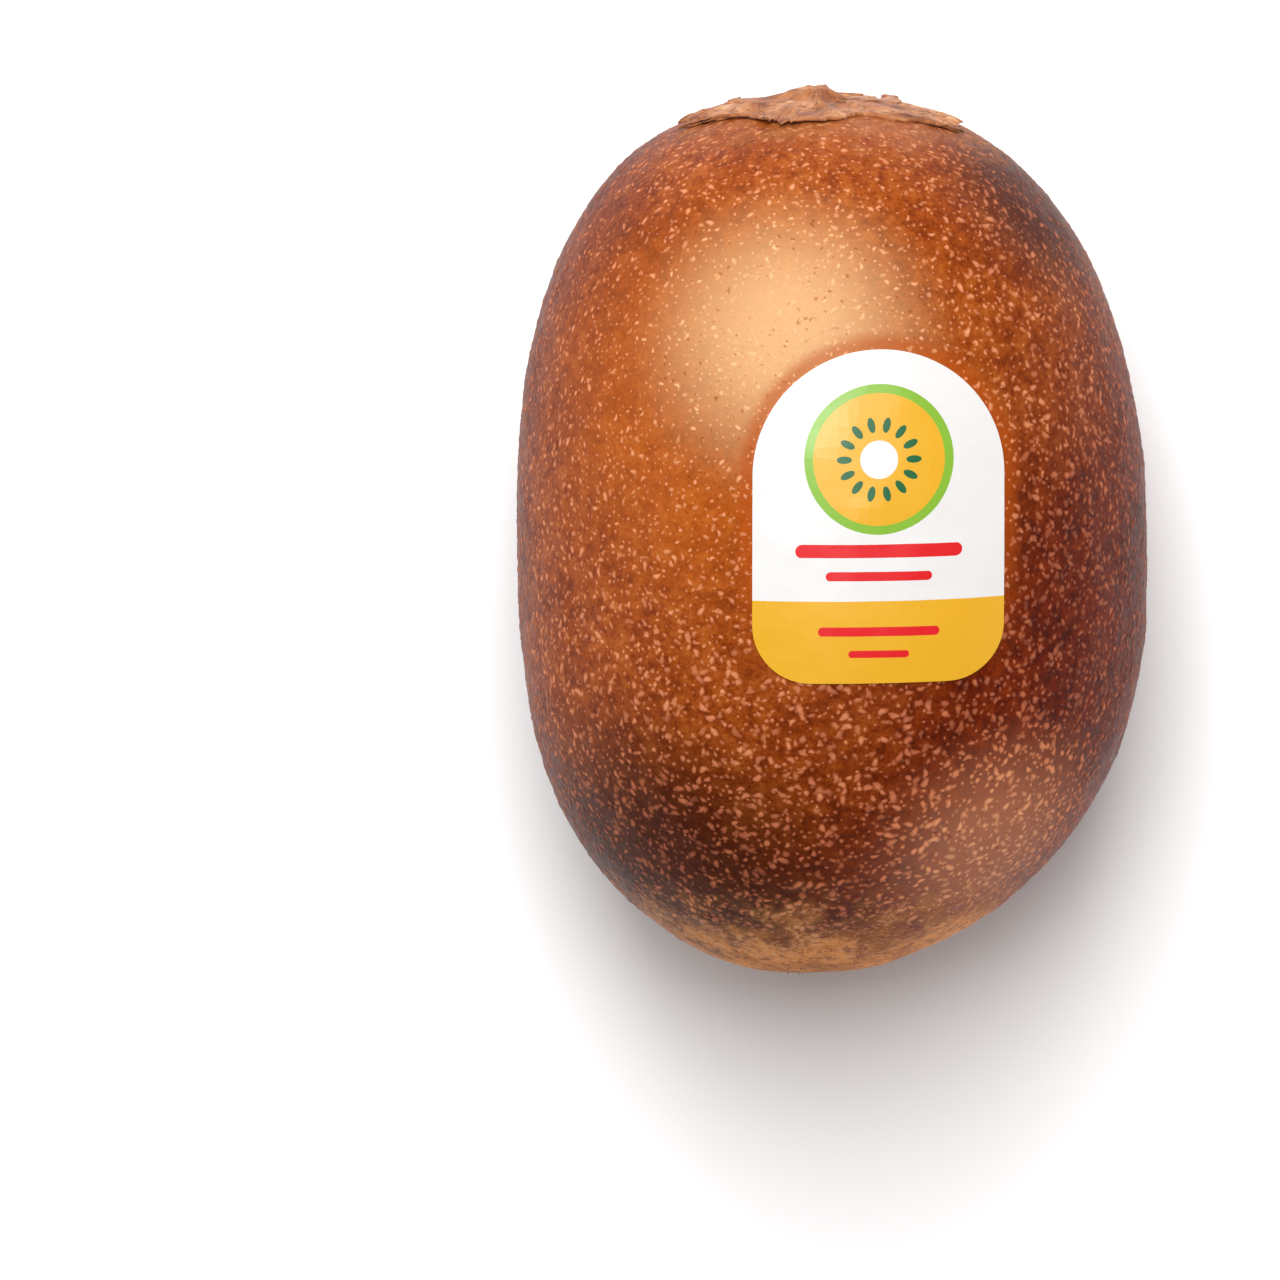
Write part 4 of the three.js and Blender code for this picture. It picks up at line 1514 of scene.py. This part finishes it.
def spaced(outline):
    """The outline with its long sides cut into short ones, so that it can follow a curved skin."""
    made = []
    for start, end in zip(outline, outline[1:] + outline[:1]):
        steps = max(1, math.ceil(math.dist(start, end) / OUTLINE_STEP))
        for k in range(steps):
            made.append([a + (b - a) * k / steps for a, b in zip(start, end)])
    return made


def label_outline():
    """A half-round top, and two rounded corners below."""
    r = LABEL_CORNER
    arch = HALF_LENGTH - HALF_WIDTH
    points = arc(0, arch, HALF_WIDTH, 0, 180, 48)
    points.append((-HALF_WIDTH, arch))
    points += arc(-HALF_WIDTH + r, -HALF_LENGTH + r, r, 180, 270, 14)
    points.append((-HALF_WIDTH + r, -HALF_LENGTH))
    points += arc(HALF_WIDTH - r, -HALF_LENGTH + r, r, 270, 360, 14)
    points.append((HALF_WIDTH, -HALF_LENGTH + r))
    return points


def seed_outlines():
    """Slim ovals in a ring, each pointing away from the middle of the slice."""
    made = []
    for k in range(SEEDS["count"]):
        turn = 2 * math.pi * k / SEEDS["count"]
        x = SLICE["x"] + SEEDS["ring"] * math.cos(turn)
        y = SLICE["y"] + SEEDS["ring"] * math.sin(turn)
        squash = SEEDS["wide"] / SEEDS["long"]
        made.append(arc(x, y, SEEDS["long"], 0, 360, 12, squash, turn))
    return made


def bar_outline(x, y, half, thick):
    """A bar with round ends."""
    return arc(x + half - thick, y, thick, -90, 90, 8) + arc(x - half + thick, y, thick, 90, 270, 8)


def inside(point, outline):
    """Whether a point is inside an outline, by counting how often a ray crosses it."""
    x, y = point
    crossed = False
    for (x0, y0), (x1, y1) in zip(outline, outline[1:] + outline[:1]):
        if (y0 > y) != (y1 > y) and x < x0 + (y - y0) / (y1 - y0) * (x1 - x0):
            crossed = not crossed
    return crossed


def print_fields():
    """The printed fields, later ones over earlier ones: ink and outline."""
    side, foot = HALF_WIDTH + 1, -HALF_LENGTH - 1  # past the label's edge, which cuts it off
    fields = [("gold", [(-side, foot), (side, foot), (side, BAND_TOP), (-side, BAND_TOP)])]
    for ink, size in (("green", "rind"), ("gold", "flesh"), ("white", "core")):
        fields.append((ink, arc(SLICE["x"], SLICE["y"], SLICE[size], 0, 360, 56)))
    fields += [("dark", outline) for outline in seed_outlines()]
    fields += [(ink, bar_outline(x, y, half, thick)) for x, y, half, thick, ink in BARS]
    return fields


print("fields:", len(print_fields()), "points round the label:", len(label_outline()))

# %% [markdown]
# One triangulation takes in every outline and a grid of points between them. A face then gets the ink of
# the last field that its middle is in, and faces outside the label are dropped.

# %% The print as flat faces
def flat_points(outline, fields):
    """All points in the flat, and the edges that the triangulation has to keep."""
    points, edges = [], []
    for loop in [outline] + [shape for _, shape in fields]:
        loop = spaced(loop)
        start = len(points)
        points += loop
        edges += [(start + k, start + (k + 1) % len(loop)) for k in range(len(loop))]
    steps = int(HALF_LENGTH / GRID_STEP) + 1
    for i in range(-steps, steps + 1):
        for j in range(-steps, steps + 1):
            spot = (i * GRID_STEP, j * GRID_STEP)
            if inside(spot, outline):
                points.append(spot)
    return points, edges


def inked_faces(flat, faces, outline, fields):
    """The faces on the label, each with its ink."""
    kept = []
    for face in faces:
        middle = sum((flat[v] for v in face), Vector((0, 0))) / 3
        if inside(middle, outline):
            ink = "white"
            for name, shape in fields:
                if inside(middle, shape):
                    ink = name
            kept.append((face, ink))
    return kept


def flat_label():
    """The flat label: its points, and its faces with their inks."""
    outline, fields = label_outline(), print_fields()
    points, edges = flat_points(outline, fields)
    flat, _, faces, *_ = delaunay_2d_cdt([Vector(p) for p in points], edges, [], 0, 1e-5)
    return flat, inked_faces(flat, faces, outline, fields)


flat_print = flat_label()
print("flat label:", len(flat_print[1]), "faces")

# %% [markdown]
# The flat faces are laid on the skin twice, once as the underside and once a paper's thickness higher,
# and a strip of faces closes the edge all round.

# %% The label on the skin
def label_mesh(flat, kept, inks):
    """The paper as a closed shell on the skin, with one material for each ink."""
    made = bmesh.new()
    layers = []
    for lift in (PAPER_LIFT, PAPER_LIFT + PAPER_THICKNESS):
        layer = []
        for p in flat:
            point, normal = skin_from_above(LABEL_MIDDLE.x + p.x * MM, LABEL_MIDDLE.y + p.y * MM)
            layer.append(made.verts.new(point + normal * lift))
        layers.append(layer)
    under, over = layers
    sides = {}  # keeps the order of the faces, so that each run gives the same mesh
    for (a, b, c), ink in kept:
        made.faces.new([over[a], over[b], over[c]]).material_index = inks.index(ink)
        made.faces.new([under[c], under[b], under[a]]).material_index = inks.index("white")
        sides |= dict.fromkeys([(a, b), (b, c), (c, a)])
    for first, second in sides:
        if (second, first) not in sides:
            made.faces.new([over[second], over[first], under[first], under[second]])
    loose = [v for v in made.verts if not v.link_faces]
    bmesh.ops.delete(made, geom=loose, context="VERTS")
    mesh = bpy.data.meshes.new("printed_label")
    made.to_mesh(mesh)
    made.free()
    return mesh


INKS = {
    # name and colour of each material
    "white": ("coated white label paper", "#dedcda"),
    "gold": ("golden printing ink", "#dca41c"),
    "green": ("green printing ink", "#7fae2e"),
    "red": ("red printing ink", "#d4121a"),
    "dark": ("dark green printing ink", "#0d5c30"),
}
label = add_piece("printed_label", label_mesh(*flat_print, list(INKS)))
print("label:", triangles(label), "triangles")

# %% [markdown]
# Coated paper is smooth and a little glossy, and its ink is printed under the same thin coat. Its grain
# is too fine to see in the picture, so it is drawn a quarter of a millimetre coarse, as a faint change of
# tone and gloss.

# %% Paper and inks
PAPER_GLOSS = (0.36, 0.48)  # roughness where the grain is lowest and highest
PAPER_SHADE = 0.93  # how bright the darkest grain is


def ink_material(name, colour):
    """Ink on coated paper: it gives the eye an even colour with a soft gloss and faint grain."""
    material, tree, shader, place = new_material(
        name, IOR=1.5, Coat_Weight=0.15, Coat_Roughness=0.25
    )
    paper = add(tree, "ShaderNodeTexNoise", grain(place, 0.25 * MM, detail=3.0))
    shaded = [c * PAPER_SHADE for c in linear(colour)[:3]] + [1.0]
    inputs = {"Factor": paper, "A": linear(colour), "B": shaded}
    tone = add(tree, "ShaderNodeMix", inputs, data_type="RGBA")
    tree.links.new(tone.outputs[2], shader.inputs["Base Color"])
    gloss = {"Value": paper, "To Min": PAPER_GLOSS[0], "To Max": PAPER_GLOSS[1]}
    gloss = add(tree, "ShaderNodeMapRange", gloss)
    tree.links.new(gloss.outputs[0], shader.inputs["Roughness"])
    bump = add(tree, "ShaderNodeBump", {"Height": paper, "Distance": 0.006 * MM, "Strength": 1.0})
    tree.links.new(bump.outputs[0], shader.inputs["Normal"])
    return material


for name, colour in INKS.values():
    label.data.materials.append(ink_material(name, colour))
print("inks:", len(label.data.materials))

# %% [markdown]
# Every piece is tied to the one body and takes the place of its solid, so that the plain solids are not
# shown.

# %% Tie the pieces to the frame
PIECES = [
    # piece, solid that it stands for, and finish slot
    (skin, "fruit", "skin"),
    (small_lenticels, "fruit", "skin"),
    (large_lenticels, "fruit", "skin"),
    (calyx, "dried_calyx", "dried_calyx"),
    (styles, "dried_styles", "dried_styles"),
    (label, "label", "label"),
]
for piece, node, slot in PIECES:
    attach(piece, "root")
    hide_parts(node)
print("pieces:", [piece.name for piece, _, _ in PIECES])

# %% [markdown]
# The fruit lies on a matt white table, which gives the eye a clean ground and a soft shadow. It is far
# wider than the view, so that no edge shows, and a hair below the fruit, so that the two never fight for
# the same height.

# %% Table
TABLE_REACH = 4.0
TABLE_LEVEL = -0.02 * MM


def table():
    """A wide white square."""
    mesh = bpy.data.meshes.new("table")
    turns = ((-1, -1), (1, -1), (1, 1), (-1, 1))
    corners = [(x * TABLE_REACH, y * TABLE_REACH, TABLE_LEVEL) for x, y in turns]
    mesh.from_pydata(corners, [], [(0, 1, 2, 3)])
    material, _, shader, _ = new_material("matt white table", Roughness=0.9)
    shader.inputs["Base Color"].default_value = linear("#ffffff")
    mesh.materials.append(material)
    return add_piece("table", mesh)


table()
print("table", 2 * TABLE_REACH, "m wide")

# %% [markdown]
# A large soft window-like light stands high beyond the stem end. Together with the painted highlight in
# the skin, it makes the broad highlight on the shoulder, and it throws the shadow towards the blossom
# end. Weak cards on the left and the right and one low beside the blossom end give the rims their sheen,
# with a painted sheen in the skin near the blossom end, and a dim even surround fills the shadows. Each
# light says how bright it makes a white card that faces it, so that its size and distance can be changed
# alone.

# %% Light
LIGHTS = [
    # name, direction, distance, width, height, brightness on a white card, colour
    ("window", (-0.06, 0.50, 0.865), 0.75, 0.36, 0.60, 1.48, "#ffffff"),
    ("left_card", (-0.95, 0.10, 0.28), 0.60, 0.50, 0.30, 0.30, "#ffffff"),
    ("right_card", (0.95, 0.10, 0.35), 0.60, 0.50, 0.30, 0.12, "#ffe8dc"),
    ("low_card", (0.50, -0.86, 0.08), 0.60, 0.40, 0.12, 0.35, "#ffeee6"),
]
SURROUND, SURROUND_COLOUR = 0.11, "#eef5ff"


def soft_light(name, direction, distance, width, height, brightness, colour):
    """A soft rectangle that lights a facing white card to the brightness given."""
    lamp = bpy.data.lights.new(name, "AREA")
    lamp.shape = "RECTANGLE"
    lamp.size = width
    lamp.size_y = height
    lamp.energy = brightness * (math.pi * distance) ** 2
    lamp.color = linear(colour)[:3]
    made = bpy.data.objects.new(name, lamp)
    scene.collection.objects.link(made)
    aim = Vector(direction).normalized()
    made.location = MIDDLE + aim * distance
    made.rotation_euler = aim.to_track_quat("Z", "Y").to_euler()


for light in LIGHTS:
    soft_light(*light)
world = bpy.data.worlds.new("studio")
scene.world = world
world.use_nodes = True
surround = world.node_tree.nodes["Background"].inputs
surround["Color"].default_value = linear(SURROUND_COLOUR)
surround["Strength"].default_value = SURROUND
scene.view_settings.view_transform = "Standard"
print("lights:", [light[0] for light in LIGHTS])

# %% [markdown]
# The photograph was taken from above with a long lens, tilted a little towards the stem end, so that the
# calyx just shows. The camera goes where a photographer's would, with no lens shift: to the side of the
# fruit's middle by as much as the fruit stands off the middle of the picture.

# %% Camera
PICTURE = 1280  # px, the picture's width and height
FRUIT_MIDDLE = (811.8, 541.4)  # px, where the body's own middle falls
PIXEL = 0.0812 * MM  # real size of a pixel at that middle
DISTANCE = 0.9  # from the lens to that middle
TILT = math.radians(8)
SENSOR = 36.0  # mm


def photo_camera():
    """The camera where the photographer's was."""
    lens = bpy.data.cameras.new("photo_camera")
    lens.sensor_width = SENSOR
    lens.lens = lens.sensor_width * DISTANCE / (PICTURE * PIXEL)
    lens.clip_start = 0.01
    lens.clip_end = 20.0
    made = bpy.data.objects.new("photo_camera", lens)
    scene.collection.objects.link(made)
    back = Vector((0, math.sin(TILT), math.cos(TILT)))
    up = Vector((0, math.cos(TILT), -math.sin(TILT)))
    right = (FRUIT_MIDDLE[0] - PICTURE / 2) * PIXEL
    above = (PICTURE / 2 - FRUIT_MIDDLE[1]) * PIXEL
    made.location = body_place + back * DISTANCE - Vector((right, 0, 0)) - up * above
    made.rotation_euler = (-TILT, 0, 0)
    return made


scene.camera = photo_camera()
print("lens", round(scene.camera.data.lens), "mm")
